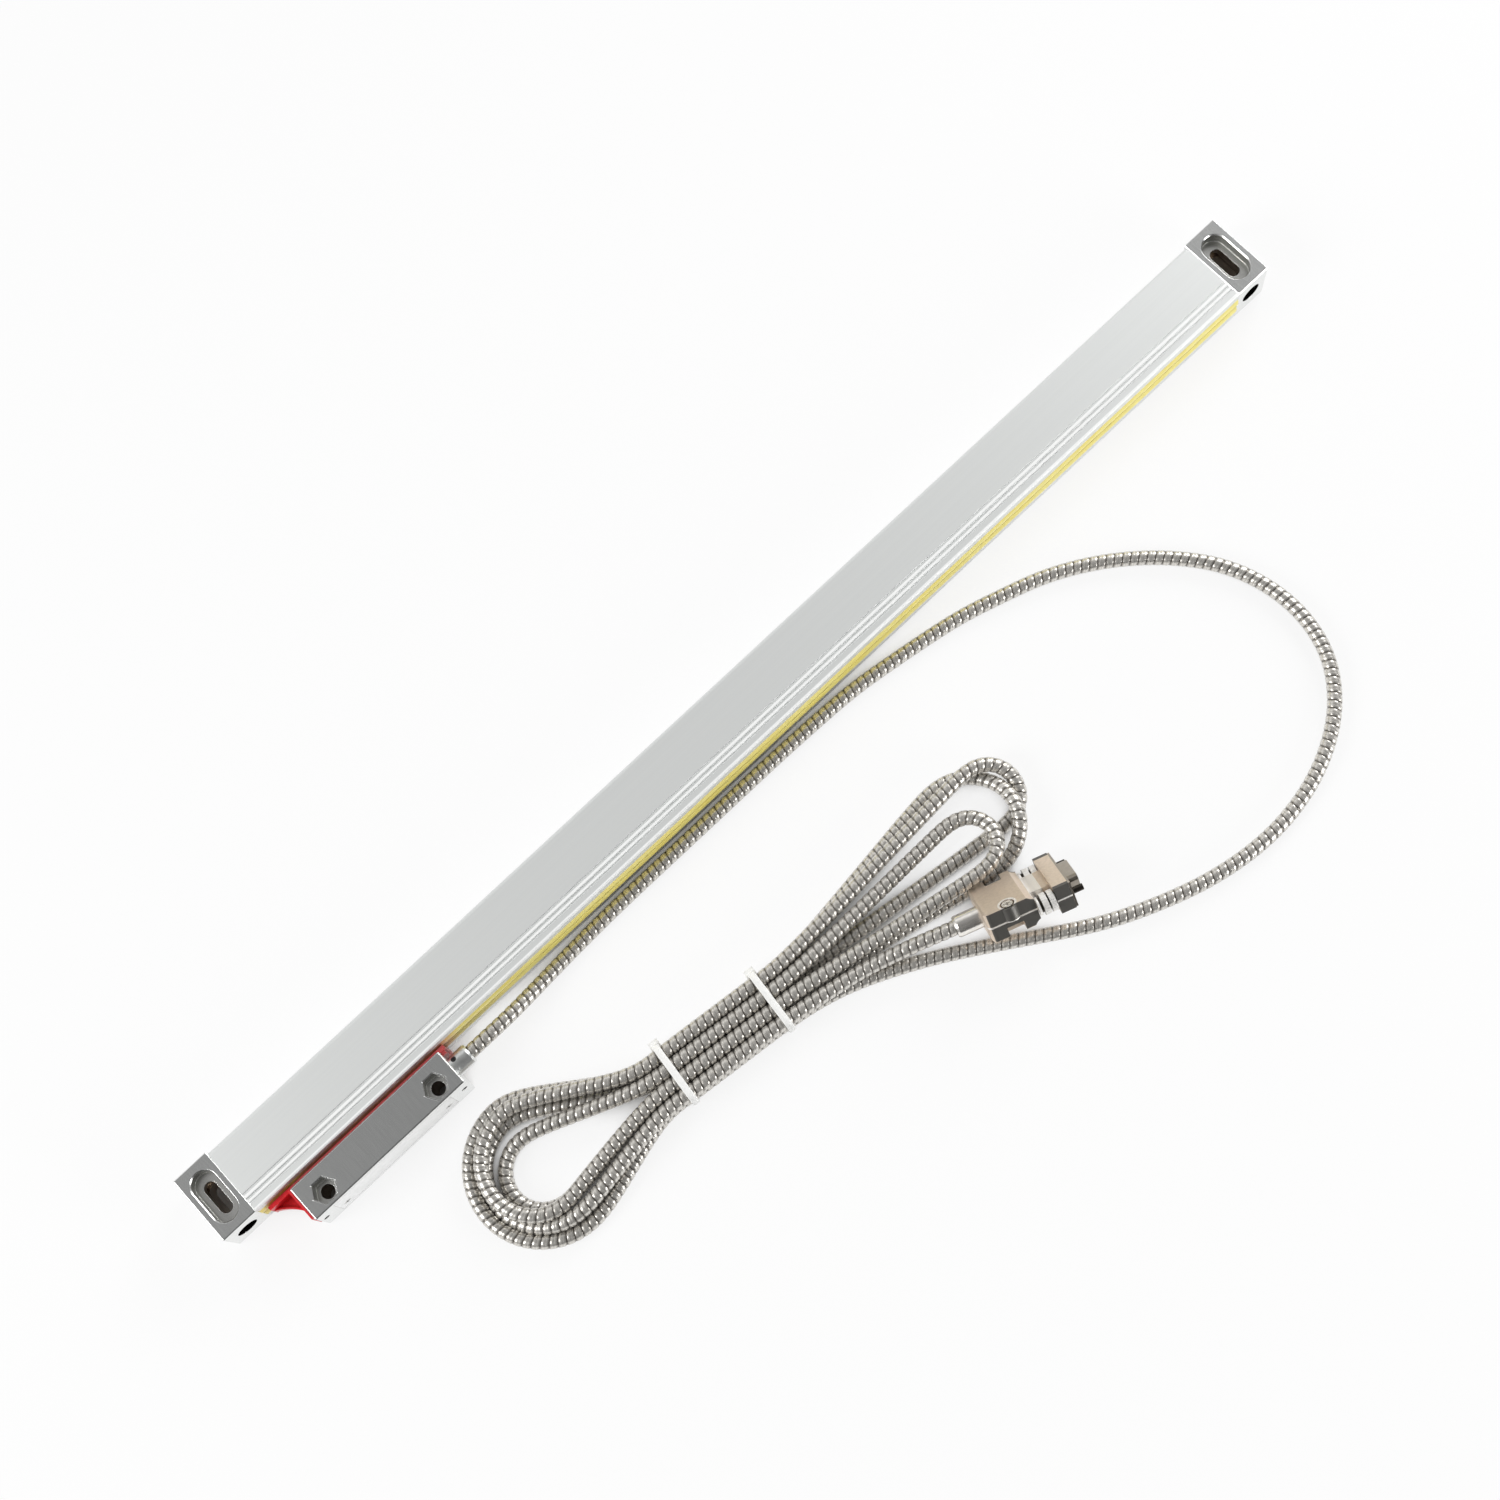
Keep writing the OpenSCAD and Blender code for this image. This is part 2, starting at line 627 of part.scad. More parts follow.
// A flat ribbon from the signal board, along the arm's groove, through the carriage
module ribbon_cable() color([0.75, 0.45, 0.12]) translate([head_x - ribbon_w / 2, 0, 0])
    along_x(ribbon_w) strip2d([
        [board_y + 0.1, mid_z + 4], [board_y + 0.1, ribbon_z + 1.2], [board_y + 1.2, ribbon_z],
        [spine_back + 0.3, ribbon_z], [spine_back + 0.9, ribbon_z - 0.6],
        [spine_back + 0.9, shelf_top + 1.7], [spine_back + 1.5, shelf_top + 1.09],
        [glass_front - 1.2, shelf_top + 1.09]], ribbon_t);

module scanning_arm() color([0.72, 0.72, 0.70]) at_head() difference() {
    union() {
        span([-arm_w / 2, head_wall_y - arm_t, arm_z0], [arm_w / 2, arm_tip, arm_z1]);
        span([-arm_w / 2, head_wall_y - arm_t, arm_z1 - arm_foot_h],
             [arm_w / 2, head_wall_y, arm_z1]);
    }
    span([-ribbon_w / 2 - fit, head_wall_y - 2, arm_z1 - 0.3],
         [ribbon_w / 2 + fit, arm_tip + 1, arm_z1 + 1]);
    for (s = [-1, 1]) translate([s * arm_screw_side, 0, arm_screw_z])
        rod_y(m2_r + fit, head_wall_y - 2, head_wall_y + 1);
}

module arm_screws() color([0.75, 0.75, 0.74]) at_head() for (s = [-1, 1])
    translate([s * arm_screw_side, head_wall_y - arm_t - m2_head_h, arm_screw_z])
        rotate([90, 0, 0]) pan_screw(m2_r, arm_t + 2.6, m2_head_r, m2_head_h);

// A flat spring with a foot on the arm: it leads the carriage and lets it find the glass
module coupling_spring() color([0.80, 0.80, 0.78]) at_head() {
    a = arm_tip + spring_t / 2;
    b = spine_front - spring_t / 2;
    translate([0, 0, arm_z1 + spring_t]) linear_extrude(spring_w)
        strip2d([[-15, a], [-7, a], [-3, a + (b - a) / 4], [3, b - (b - a) / 4], [7, b], [15, b]],
                spring_t);
    span([-14.5, arm_tip - 2, arm_z1], [-7.5, arm_tip + spring_t, arm_z1 + spring_t + eps]);
}

// ---------- carriage inside the rail ----------

module scan_carriage() color([0.20, 0.21, 0.22]) at_head() difference() {
    union() {
        span([-carriage_l / 2, spine_front, carriage_bottom],
             [carriage_l / 2, spine_back, carriage_top]);
        span([-carriage_l / 2, spine_back - eps, arm_under_z],
             [carriage_l / 2, ledge_y - 1.5, carriage_top]);
        span([-12, spine_back - eps, carriage_bottom], [12, ledge_y - 2.5, shelf_top]);
        for (s = [-1, 1]) {
            for (q = [-1, 1]) translate([s * face_roller_side,
                face_roller_y + q * (roller_w / 2 + lug_gap + lug_t / 2), 0])
                span([-lug_l / 2, -lug_t / 2, glass_z1 + 0.9], [lug_l / 2, lug_t / 2, arm_under_z + eps]);
            for (q = [-1, 1]) translate([s * edge_roller_side, 0,
                mid_z + q * (roller_w / 2 + lug_gap + lug_t / 2)])
                span([-lug_l / 2, spine_back - eps, -lug_t / 2],
                     [lug_l / 2, edge_roller_y + lug_reach, lug_t / 2]);
        }
    }
    for (s = [-1, 1]) {
        translate([s * face_roller_side, face_roller_y, 0]) {
            span([-roller_r - 0.4, -roller_w / 2 - lug_gap, arm_under_z - eps],
                 [roller_r + 0.4, roller_w / 2 + lug_gap, face_roller_z + roller_r + 0.4]);
            translate([0, 0, face_roller_z]) rod_y(pin_r + press_fit, -6, 6);
        }
        translate([s * edge_roller_side, edge_roller_y, mid_z - 6])
            cylinder(h = 12, r = pin_r + press_fit);
    }
    span([-ribbon_w / 2 - 0.6, spine_front - 1, ribbon_z - 0.6],
         [ribbon_w / 2 + 0.6, spine_back + 1, ribbon_z + 0.6]);
}

module lamp_module() color([0.85, 0.85, 0.80]) at_head() {
    span([-9, ledge_y - 9.5, arm_under_z - 2.7], [9, ledge_y - 2.5, arm_under_z]);
    translate([0, ledge_y - 6, arm_under_z - 3.7]) cylinder(h = 1, r = 2.6);
}

module photocell_board() color([0.13, 0.40, 0.24]) at_head()
    span([-10, spine_back + fit, shelf_top], [10, ledge_y - 3, shelf_top + 1]);

module index_reticle() color([0.75, 0.88, 0.85, 0.6]) at_head()
    span([-8, ledge_y - 9.5, shelf_top + 1], [8, ledge_y - 3.5, shelf_top + 1.7]);

module face_roller(s) at_head() translate([s * face_roller_side, face_roller_y, face_roller_z])
    difference() {
        rod_y(roller_r, -roller_w / 2, roller_w / 2);
        rod_y(pin_r + turn_fit, -roller_w, roller_w);
    }
module edge_roller(s) at_head() translate([s * edge_roller_side, edge_roller_y, mid_z])
    difference() {
        translate([0, 0, -roller_w / 2]) cylinder(h = roller_w, r = roller_r);
        translate([0, 0, -roller_w]) cylinder(h = 2 * roller_w, r = pin_r + turn_fit);
    }
module face_roller_left() color([0.9, 0.9, 0.9]) face_roller(-1);
module face_roller_right() color([0.9, 0.9, 0.9]) face_roller(1);
module edge_roller_left() color([0.9, 0.9, 0.9]) edge_roller(-1);
module edge_roller_right() color([0.9, 0.9, 0.9]) edge_roller(1);

module roller_axles() color([0.6, 0.6, 0.6]) at_head() {
    h = roller_w / 2 + lug_gap + lug_t;
    for (s = [-1, 1]) {
        translate([s * face_roller_side, face_roller_y, face_roller_z]) rod_y(pin_r, -h, h);
        translate([s * edge_roller_side, edge_roller_y, mid_z - h]) cylinder(h = 2 * h, r = pin_r);
    }
}

// ---------- transport spacer ----------

// Keeps the head at its running gap until the scale is mounted: a wall in the gap, an end
// wall with a gusset that leads to the rail, and a hook round the far end of the head
module transport_spacer() color([0.80, 0.12, 0.15]) {
    thick = head_gap - 1.4;
    inner = head_back + fit;
    outer = inner + thick;
    near = head_x - head_l / 2 - fit;
    far = head_x + head_l / 2 + fit;
    low = 3;
    top = head_h - 0.5;
    wall_top = head_h - 5;
    tip = near - 12.5;
    foot = inner - 12;
    end_t = 1;
    difference() {
        union() {
            span([tip, inner, low], [far + 3, outer, wall_top]);
            span([near - end_t, head_front + 1.5, 8], [near, inner + eps, top]);
        }
        span([head_x - arm_w / 2 - 6, inner - 1, low - 1],
             [head_x + arm_w / 2 + 6, outer + 1, mid_z + 1.5]);
        span([tip - 1, inner - 1, low - 1], [near - 1, outer + 1, 8]);
    }
    span([far, inner - 1.7, 4], [far + 2, inner + eps, wall_top - 1]);
    a = [tip, inner];
    b = [near - end_t, foot];
    sag = 1.5;
    c = norm(b - a);
    r = c * c / (8 * sag) + sag / 2;
    n = [-(b - a).y, (b - a).x] / c;
    centre = (a + b) / 2 - n * (r - sag);
    translate([0, 0, 10]) linear_extrude(2.4) difference() {
        polygon([a, b, [near - end_t + eps, inner + eps]]);
        translate(centre) circle(r = r, $fn = 96);
    }
    translate([0, 0, 10]) linear_extrude(4.4) difference() {
        intersection() {
            polygon([a, b, [near - end_t + eps, inner + eps]]);
            translate(centre) circle(r = r + 0.8, $fn = 96);
        }
        translate(centre) circle(r = r, $fn = 96);
    }
}

// ---------- cable ----------

module at_gland() translate([gland_x, gland_y, gland_z]) children();
lock_tilt = 22;
lock_from_end = 2.3;

module cable_gland() color([0.74, 0.75, 0.75]) at_gland() difference() {
    union() {
        rod_x(gland_d / 2, 0, gland_l - 1);
        translate([gland_l - 1, 0, 0]) rotate([0, 90, 0])
            cylinder(h = 1, r1 = gland_d / 2, r2 = gland_d / 2 - 0.6);
        rod_x(gland_spigot_r, -gland_spigot_l, eps);
    }
    rod_x(tube_bore, gland_l - hose_seat, gland_l + 1);
    rod_x(gland_spigot_r - 1.2, -gland_spigot_l - 1, gland_l);
    translate([lock_from_end, 0, 0]) rotate([-lock_tilt, 0, 0])
        cylinder(h = gland_d, r = 1.25 + turn_fit);
}

module gland_screw() color([0.3, 0.3, 0.3]) at_gland() translate([lock_from_end, 0, 0])
    rotate([-lock_tilt, 0, 0]) translate([0, 0, gland_d / 2 - 0.15])
        grub_screw(1.25, gland_d / 2 - 0.15 - tube_bore - turn_fit);

module hose_lead() color([0.62, 0.60, 0.56]) translate(lead_at)
    swept_tube(smooth(lead_route, lead_steps), hose_r, hose_sides);

module hank_outline() {
    for (q = hank_stations) translate(q[0]) circle(r = q[1]);
    for (i = [0 : len(hank_stations) - 2]) let (p = hank_stations[i], q = hank_stations[i + 1])
        belt_link(p[0], p[1], q[0], q[1]);
}

module at_tie(i) translate(hank_stations[i + 1][0]) rotate(tie_angles[i]) children();
// Half the width inside a tie
function tie_half(i) = hank_stations[i + 1][1] + tie_room;

// Under each tie the hank is drawn in to the tie's inside
module hose_hank() color([0.62, 0.60, 0.56]) translate(lead_at) difference() {
    linear_extrude(hank_h) hank_outline();
    for (i = [0, 1]) at_tie(i) difference() {
        span([-tie_lock / 2 - fit, -50, -1], [tie_lock / 2 + fit, 50, hank_h + 1]);
        span([-tie_lock, -tie_half(i) + eps, tie_t + eps], [tie_lock, tie_half(i) - eps, hank_h + 2]);
    }
}

// Two flat ties round the hank, each with its lock on the rail's side
module cable_ties() color([0.95, 0.95, 0.95]) translate(lead_at) for (i = [0, 1]) at_tie(i) {
    half = tie_half(i);
    difference() {
        span([-tie_w / 2, -half - tie_t, 0], [tie_w / 2, half + tie_t, hank_h + 0.2 + tie_t]);
        span([-tie_w, -half, tie_t], [tie_w, half, hank_h + 0.2]);
    }
    span([-tie_lock / 2, half + tie_t - eps, 4], [tie_lock / 2, half + tie_t + 3, 4 + tie_lock]);
}

// ---------- plug ----------

// The plug's own frame: x points out of its mating face, y across it and z through its thickness
module at_plug() translate(lead_at + plug_at) rotate([0, 0, plug_yaw]) rotate([plug_roll, 0, 0])
    children();
tail_route = [
    [198.6, -110.85, 16.3], [190.5, -108, 16.3], [183, -105.1, 15.9], [173, -101.2, 14.5],
    [162, -97.3, 12.5], [151, -93.6, 11]];

module hose_tail() color([0.62, 0.60, 0.56]) translate(lead_at)
    swept_tube(smooth(tail_route, tail_steps), hose_r, hose_sides);

module hose_ferrule() color([0.80, 0.79, 0.77]) at_plug() difference() {
    union() {
        rod_x(ferrule_r, -hood_l - ferrule_l + 1, -hood_l);
        translate([-hood_l - ferrule_l, 0, 0]) rotate([0, 90, 0])
            cylinder(h = 1, r1 = ferrule_r - 0.6, r2 = ferrule_r);
        rod_x(ferrule_r - 1, -hood_l - eps, -hood_l + ferrule_in);
    }
    rod_x(tube_bore, -hood_l - ferrule_l - 1, -hood_l - 5);
    rod_x(ferrule_r - 2, -hood_l - 6, -hood_l + ferrule_in + 1);
}

// Outline of the hood between the end of its cable side and its collar
module hood_outline() {
    r = rear_round;
    translate([-hood_l + r, -body_half_w]) square([hood_l - r + notch_from, 2 * body_half_w]);
    translate([-hood_l, -body_half_w + r]) square([r + eps, 2 * (body_half_w - r)]);
    for (s = [-1, 1]) translate([-hood_l + r, s * (body_half_w - r)]) circle(r = r);
    translate([notch_from - eps, -waist_half_w])
        square([notch_to - notch_from + 2 * eps, 2 * waist_half_w]);
}

// One casting serves as both halves: its screw boss is on one side, and the pocket for the
// other screw's tip is on the other.
module hood_half() difference() {
    union() {
        linear_extrude(hood_t / 2) hood_outline();
        translate([hood_screw_u, -hood_screw_w, 0]) cylinder(h = hood_t / 2 - 0.4, r = hood_boss_r);
        span([notch_to, -hood_w / 2, 0], [0, hood_w / 2, collar_t / 2]);
    }
    // scoop from the body down to the waist
    translate([scoop_end, 0, waist_t / 2 + scoop_r]) rod_y(scoop_r, -20, 20);
    span([scoop_end, -20, waist_t / 2], [notch_to, 20, hood_t]);
    // bevel along the joint between the halves
    for (s = [-1, 1]) translate([notch_from - 10, s * body_half_w, 0]) rotate([45, 0, 0])
        cube([hood_l, parting_bevel, parting_bevel] * 1.4, center = true);
    // pocket at the tip of the other half's screw
    span([hood_screw_u - pocket_l / 2, pocket_w, pocket_z],
         [hood_screw_u + pocket_l / 2, body_half_w + 1, hood_t]);
    // bevel along the rear edge
    translate([-hood_l, 0, hood_t / 2]) rotate([0, 45, 0])
        cube([1.2, 40, 1.2], center = true);
    span([-hood_l + hood_wall + ferrule_in, -hood_room_w / 2, -1],
         [-hood_wall, hood_room_w / 2, hood_room_t / 2]);
    rod_x(ferrule_r - 1 + turn_fit, -hood_l - 1, -hood_l + hood_wall + ferrule_in + eps);
    rotate([90, 0, 90]) translate([0, 0, -hood_wall - 1]) linear_extrude(hood_wall + 2)
        d_outline(shell_w, shell_h, 2);
    for (s = [-1, 1]) translate([0, s * screw_side, 0])
        rod_x(thumb_shank_r + fit, notch_to - 1, 1);
}

// A D outline: the long side up, the short side down, with round corners
function d_corner(c, r, a, b) = [for (i = [0 : 4]) let (t = a + (b - a) * i / 4)
    c + r * [cos(t), sin(t)]];
module d_outline(w, h, r) {
    slant = 0.9;
    polygon(concat(
        d_corner([w / 2 - r, h / 2 - r], r, 90, -10),
        d_corner([w / 2 - r - slant, -h / 2 + r], r, -10, -90),
        d_corner([-w / 2 + r + slant, -h / 2 + r], r, 270, 190),
        d_corner([-w / 2 + r, h / 2 - r], r, 190, 90)));
}

module hood_screw_holes() for (s = [-1, 1]) rotate([s < 0 ? 180 : 0, 0, 0])
    translate([hood_screw_u, -hood_screw_w, 0]) {
        translate([0, 0, -pocket_z - 1]) cylinder(h = hood_t, r = 1.25 + turn_fit);
        translate([0, 0, hood_t / 2 - 2]) cylinder(h = 3, r = hood_sink_r);
    }

module hood_upper_half() color([0.66, 0.62, 0.56]) at_plug() difference() {
    hood_half();
    hood_screw_holes();
}
module hood_lower_half() color([0.66, 0.62, 0.56]) at_plug() difference() {
    rotate([180, 0, 0]) hood_half();
    hood_screw_holes();
}

module hood_screws() color([0.82, 0.80, 0.76]) at_plug() for (s = [-1, 1])
    rotate([s < 0 ? 180 : 0, 0, 0]) translate([hood_screw_u, -hood_screw_w, hood_t / 2 - 0.1])
        pan_screw(1.25, hood_t / 2 - 2 + pocket_z - 0.3, hood_head_r, 1.9);

module cable_clamp() color([0.75, 0.74, 0.70]) at_plug() difference() {
    span([-hood_l + hood_wall + ferrule_in + free, -hood_room_w / 2 + free, -hood_room_t / 2 + free],
         [-hood_l + hood_wall + ferrule_in + 4.2, hood_room_w / 2 - free, hood_room_t / 2 - free]);
    rod_x(2.4, -hood_l, 0);
}

module plug_shell() color([0.72, 0.70, 0.68]) at_plug() difference() {
    union() {
        translate([0, -plate_w / 2, -plate_h / 2]) cube([plate_t, plate_w, plate_h]);
        along_x(plate_t + shell_l) d_outline(shell_w, shell_h, 2);
    }
    translate([-1, 0, 0]) along_x(plate_t + shell_l + 2)
        d_outline(shell_w - 2 * shell_wall, shell_h - 2 * shell_wall, 1.6);
    for (s = [-1, 1]) translate([0, s * screw_side, 0]) rod_x(thumb_shank_r + fit, -1, 3);
}

module pin_places() for (r = [0, 1], i = [0 : 4 - r])
    translate([0, (i - 2 + r / 2) * pin_pitch, (0.5 - r) * pin_row]) children();

module plug_insulator() color([0.10, 0.10, 0.10]) at_plug() difference() {
    translate([-hood_wall, 0, 0]) along_x(hood_wall + plate_t + 0.6)
        d_outline(shell_w - 2 * shell_wall - fit, shell_h - 2 * shell_wall - fit, 1.6);
    pin_places() rod_x(0.5 + press_fit, -3, 3);
}

module contact_pins() color([0.85, 0.70, 0.35]) at_plug() pin_places()
    rod_x(0.5, -4.5, plate_t + shell_l - 1);

// Thumbscrew: a collar, a neck and a knurled head with a groove round it, on a long shank
module knurled(l) along_x(l) difference() {
    circle(r = thumb_r);
    for (i = [0 : 23]) rotate(i * 15) translate([thumb_r + 0.1, 0]) rotate(45)
        square(0.42, center = true);
}
module thumbscrew(s) at_plug() translate([0, s * screw_side, 0]) {
    head_to = notch_to - 0.5;
    head_from = head_to - thumb_l;
    rod_x(thumb_r - 0.7, head_from, head_from + 1);
    rod_x(thumb_r - 1.5, head_from, head_to - eps);
    translate([head_from + 2.2, 0, 0]) knurled(2.7);
    translate([head_to - 2.6, 0, 0]) knurled(2.6);
    rod_x(thumb_shank_r, head_to - 2 * eps, thumb_tip);
}
module thumbscrew_left() color([0.85, 0.83, 0.80]) thumbscrew(1);
module thumbscrew_right() color([0.85, 0.83, 0.80]) thumbscrew(-1);

housing_extrusion();
left_end_block();
right_end_block();
left_gasket();
right_gasket();
end_block_screws();
upper_lip_seal();
lower_lip_seal();
glass_scale();
bonding_strip();
head_block();
side_cover();
cover_screws();
head_set_screws();
signal_board();
board_screws();
wire_bundle();
ribbon_cable();
scanning_arm();
arm_screws();
coupling_spring();
scan_carriage();
lamp_module();
photocell_board();
index_reticle();
face_roller_left();
face_roller_right();
edge_roller_left();
edge_roller_right();
roller_axles();
transport_spacer();
cable_gland();
gland_screw();
hose_lead();
hose_hank();
hose_tail();
cable_ties();
hose_ferrule();
hood_upper_half();
hood_lower_half();
hood_screws();
plug_shell();
plug_insulator();
contact_pins();
cable_clamp();
thumbscrew_left();
thumbscrew_right();
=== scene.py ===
import math

import bpy
import numpy as np
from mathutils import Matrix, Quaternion, Vector


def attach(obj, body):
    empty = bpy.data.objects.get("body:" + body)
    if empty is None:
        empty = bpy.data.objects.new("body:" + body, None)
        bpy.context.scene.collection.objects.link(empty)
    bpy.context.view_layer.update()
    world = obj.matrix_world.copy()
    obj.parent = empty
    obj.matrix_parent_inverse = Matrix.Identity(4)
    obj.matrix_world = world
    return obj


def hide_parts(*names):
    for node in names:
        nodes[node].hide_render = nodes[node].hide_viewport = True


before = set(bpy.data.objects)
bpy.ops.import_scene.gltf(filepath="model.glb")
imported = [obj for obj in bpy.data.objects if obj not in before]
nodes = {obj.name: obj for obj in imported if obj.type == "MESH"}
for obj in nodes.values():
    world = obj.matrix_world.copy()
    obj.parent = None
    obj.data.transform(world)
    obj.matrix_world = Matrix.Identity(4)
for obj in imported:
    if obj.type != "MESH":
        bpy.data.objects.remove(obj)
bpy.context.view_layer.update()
collection = bpy.context.scene.collection

# ---- Camera -------------------------------------------------------------------------
# Stands in front of the rail and a little over a metre above it, looking down and past
# it, turned about its own axis so that the rail climbs from lower left to upper right.
camera_place = Vector((-0.1239, -0.2776, 1.0803))
camera_aim = Vector((-0.0045, -0.0112, 0.0))
camera_turn = math.radians(-19.577)
camera_data = bpy.data.cameras.new("camera")
camera_data.sensor_width = 36
camera_data.lens = 58.737
camera_data.clip_start = 0.05
camera = bpy.data.objects.new("camera", camera_data)
camera.location = camera_place
camera.rotation_mode = "QUATERNION"
level = (camera_aim - camera_place).to_track_quat("-Z", "Y")
camera.rotation_quaternion = level @ Quaternion((0, 0, 1), camera_turn)
collection.objects.link(camera)
bpy.context.scene.camera = camera

# ---- Armoured hose ------------------------------------------------------------------
# A seven-millimetre hose wound from a stainless strip whose turns hook into each other,
# so that its outside is a fine screw of round ridges with dark seams. It leaves the
# head's gland, lies along the rail, swings round and ends in a hank held by two ties.
hose_d = 0.007
hose_r = hose_d / 2
gland_mouth = np.array([-0.189, -0.0285, 0.0])

# From the gland to the hank, relative to the gland's mouth, z above the floor
lead_route = np.array([
    (-0.0087, 0, 0.014), (0, 0, 0.014), (0.010, 0, 0.0139), (0.025, 0.0006, 0.0116),
    (0.040, 0.0025, 0.007), (0.056, 0.004, 0.0044), (0.075, 0.005, 0.0035),
    (0.100, 0.0055, 0.0035), (0.130, 0.0055, 0.0035), (0.160, 0.0055, 0.0035),
    (0.190, 0.0055, 0.0035), (0.215, 0.005, 0.0035), (0.238, 0.004, 0.0035),
    (0.257, 0.0015, 0.0035), (0.276, -0.0015, 0.0035), (0.297, -0.0055, 0.0035),
    (0.317, -0.0115, 0.0035), (0.336, -0.018, 0.0035), (0.355, -0.028, 0.0035),
    (0.372, -0.0405, 0.0035), (0.387, -0.0555, 0.0035), (0.399, -0.073, 0.0035),
    (0.406, -0.094, 0.0035), (0.4065, -0.116, 0.0035), (0.400, -0.136, 0.0035),
    (0.386, -0.153, 0.0035), (0.367, -0.165, 0.0035), (0.345, -0.172, 0.0035),
    (0.320, -0.174, 0.0035), (0.292, -0.170, 0.0035), (0.266, -0.1615, 0.0035),
    (0.242, -0.1505, 0.0035), (0.221, -0.1375, 0.0035), (0.201, -0.1245, 0.0035),
    (0.180, -0.1115, 0.0035), (0.160, -0.101, 0.0035), (0.140, -0.0925, 0.0035),
    (0.121, -0.0875, 0.0035)])
# From the hank to the plug
tail_route = np.array([
    (0.151, -0.0936, 0.011), (0.162, -0.0973, 0.0125), (0.173, -0.1012, 0.0145),
    (0.183, -0.1051, 0.0159), (0.1905, -0.108, 0.0163), (0.1986, -0.11085, 0.0163)])

# Where the two ties grip the hank. Under them the strands lie side by side in four
# columns, 0 to 3 from the rail's side, on the tie (layer 0) and above that (layer 1).
tie_centres = np.array([(-0.1295, -0.098), (-0.077, -0.104)])
tie_gap = tie_centres[1] - tie_centres[0]
hank_along = tie_gap / np.linalg.norm(tie_gap)
hank_across = np.array([-hank_along[1], hank_along[0]])
strand_pitch = 0.0071
layer_rise = 0.00705
tie_strap = 0.001


def strand_place(share, column, layer):
    """A strand's centre at a share of the way from the left tie to the right one."""
    middle = tie_centres[0] + share * tie_gap
    x, y = middle + hank_across * (1.5 - column) * strand_pitch
    return (x, y, hose_r + tie_strap + layer * layer_rise)


def fold(centre, radii, heights, angles):
    """Points of an arc whose radius and height run through the given values."""
    t = np.linspace(0, 1, 13)
    a = np.radians(angles[0] + (angles[1] - angles[0]) * t)
    r = np.interp(t, (0, 1), radii)
    z = np.interp(t, np.linspace(0, 1, len(heights)), heights)
    return np.stack([centre[0] + r * np.cos(a), centre[1] + r * np.sin(a), z], 1)


# The turns in the order that the hose takes them: side, (column, layer) on entry and on
# leaving, centre, radii at the rail's side and at the far side, heights between them.
# Strands run between the folds, at shares of the way from the left tie to the right one.
left_sweep, right_sweep = (80, 280), (96, -96)
left_shares, right_shares = (0.5, 0, -0.25), (1, 1.2)
low = hose_r
turns = [
    ("left", (3, 0), (0, 0), (-0.199, -0.086), (0.0335, 0.0335), (low,) * 6),
    ("right", (0, 0), (2, 0), (0.041, -0.107), (0.0235, 0.0235),
     (low, low, low, low, 0.0052, 0.008, 0.0106, 0.0108, 0.0085, 0.0052, low)),
    ("left", (2, 0), (1, 1), (-0.2008, -0.0878), (0.0175, 0.0175), (0.006,) + (low,) * 5),
    ("right", (1, 1), (2, 1), (0.0345, -0.1143), (0.0134, 0.0134),
     (0.011, 0.012, 0.012, 0.013, 0.015, 0.0144)),
    ("left", (2, 1), (0, 1), (-0.1995, -0.0865), (0.030, 0.0193),
     (0.010, 0.0104, 0.0106, 0.0106, 0.0102, 0.010)),
    ("right", (0, 1), (1, 0), (0.0575, -0.1035), (0.0145, 0.0145),
     (0.0114, 0.0105, 0.008, 0.005, low, low)),
    ("left", (1, 0), (3, 1), (-0.1993, -0.0863), (0.0258, 0.0275),
     (low, low, low, 0.0038, 0.0072, 0.0103))]
hank_points = [[strand_place(1, 3, 0)]]
for side, entry, leave, centre, radii, heights in turns:
    if side == "left":
        arc = fold(centre, radii, heights, left_sweep)
        going_up = entry[0] > leave[0]
        hank_points.append([strand_place(share, *entry) for share in left_shares])
        hank_points.append(arc[::-1] if going_up else arc)
        hank_points.append([strand_place(share, *leave) for share in left_shares[::-1]])
    else:
        hank_points.append([strand_place(share, *entry) for share in right_shares])
        hank_points.append(fold(centre, radii, heights, right_sweep))
        hank_points.append([strand_place(share, *leave) for share in right_shares[::-1]])
hank_points.append([strand_place(1, 3, 1)])


def smooth_line(route, step, window, passes):
    """A curve through a route: Catmull-Rom spans (each a cubic whose end slopes follow
    the neighbours), cut to equal steps, then evened by a running mean."""
    ends = np.vstack([2 * route[0] - route[1], route, 2 * route[-1] - route[-2]])
    gaps = np.sqrt(np.linalg.norm(np.diff(ends, axis=0), axis=1))
    knots = np.concatenate([[0], np.cumsum(gaps)])
    spans = []
    for i in range(1, len(ends) - 2):
        p, k = ends[i - 1:i + 3], knots[i - 1:i + 3]
        t = np.linspace(k[1], k[2], 12, endpoint=False)[:, None]
        a = [p[j] + (p[j + 1] - p[j]) * (t - k[j]) / (k[j + 1] - k[j]) for j in range(3)]
        b = [a[j] + (a[j + 1] - a[j]) * (t - k[j]) / (k[j + 2] - k[j]) for j in range(2)]
        spans.append(b[0] + (b[1] - b[0]) * (t - k[1]) / (k[2] - k[1]))
    line = equal_steps(np.vstack(spans + [route[-1:]]), step)
    kernel = np.ones(2 * window + 1) / (2 * window + 1)
    for _ in range(passes):
        before = 2 * line[0] - line[window:0:-1]
        after = 2 * line[-1] - line[-2:-window - 2:-1]
        padded = np.vstack([before, line, after])
        line = np.stack([np.convolve(padded[:, i], kernel, "valid") for i in range(3)], 1)
    return line


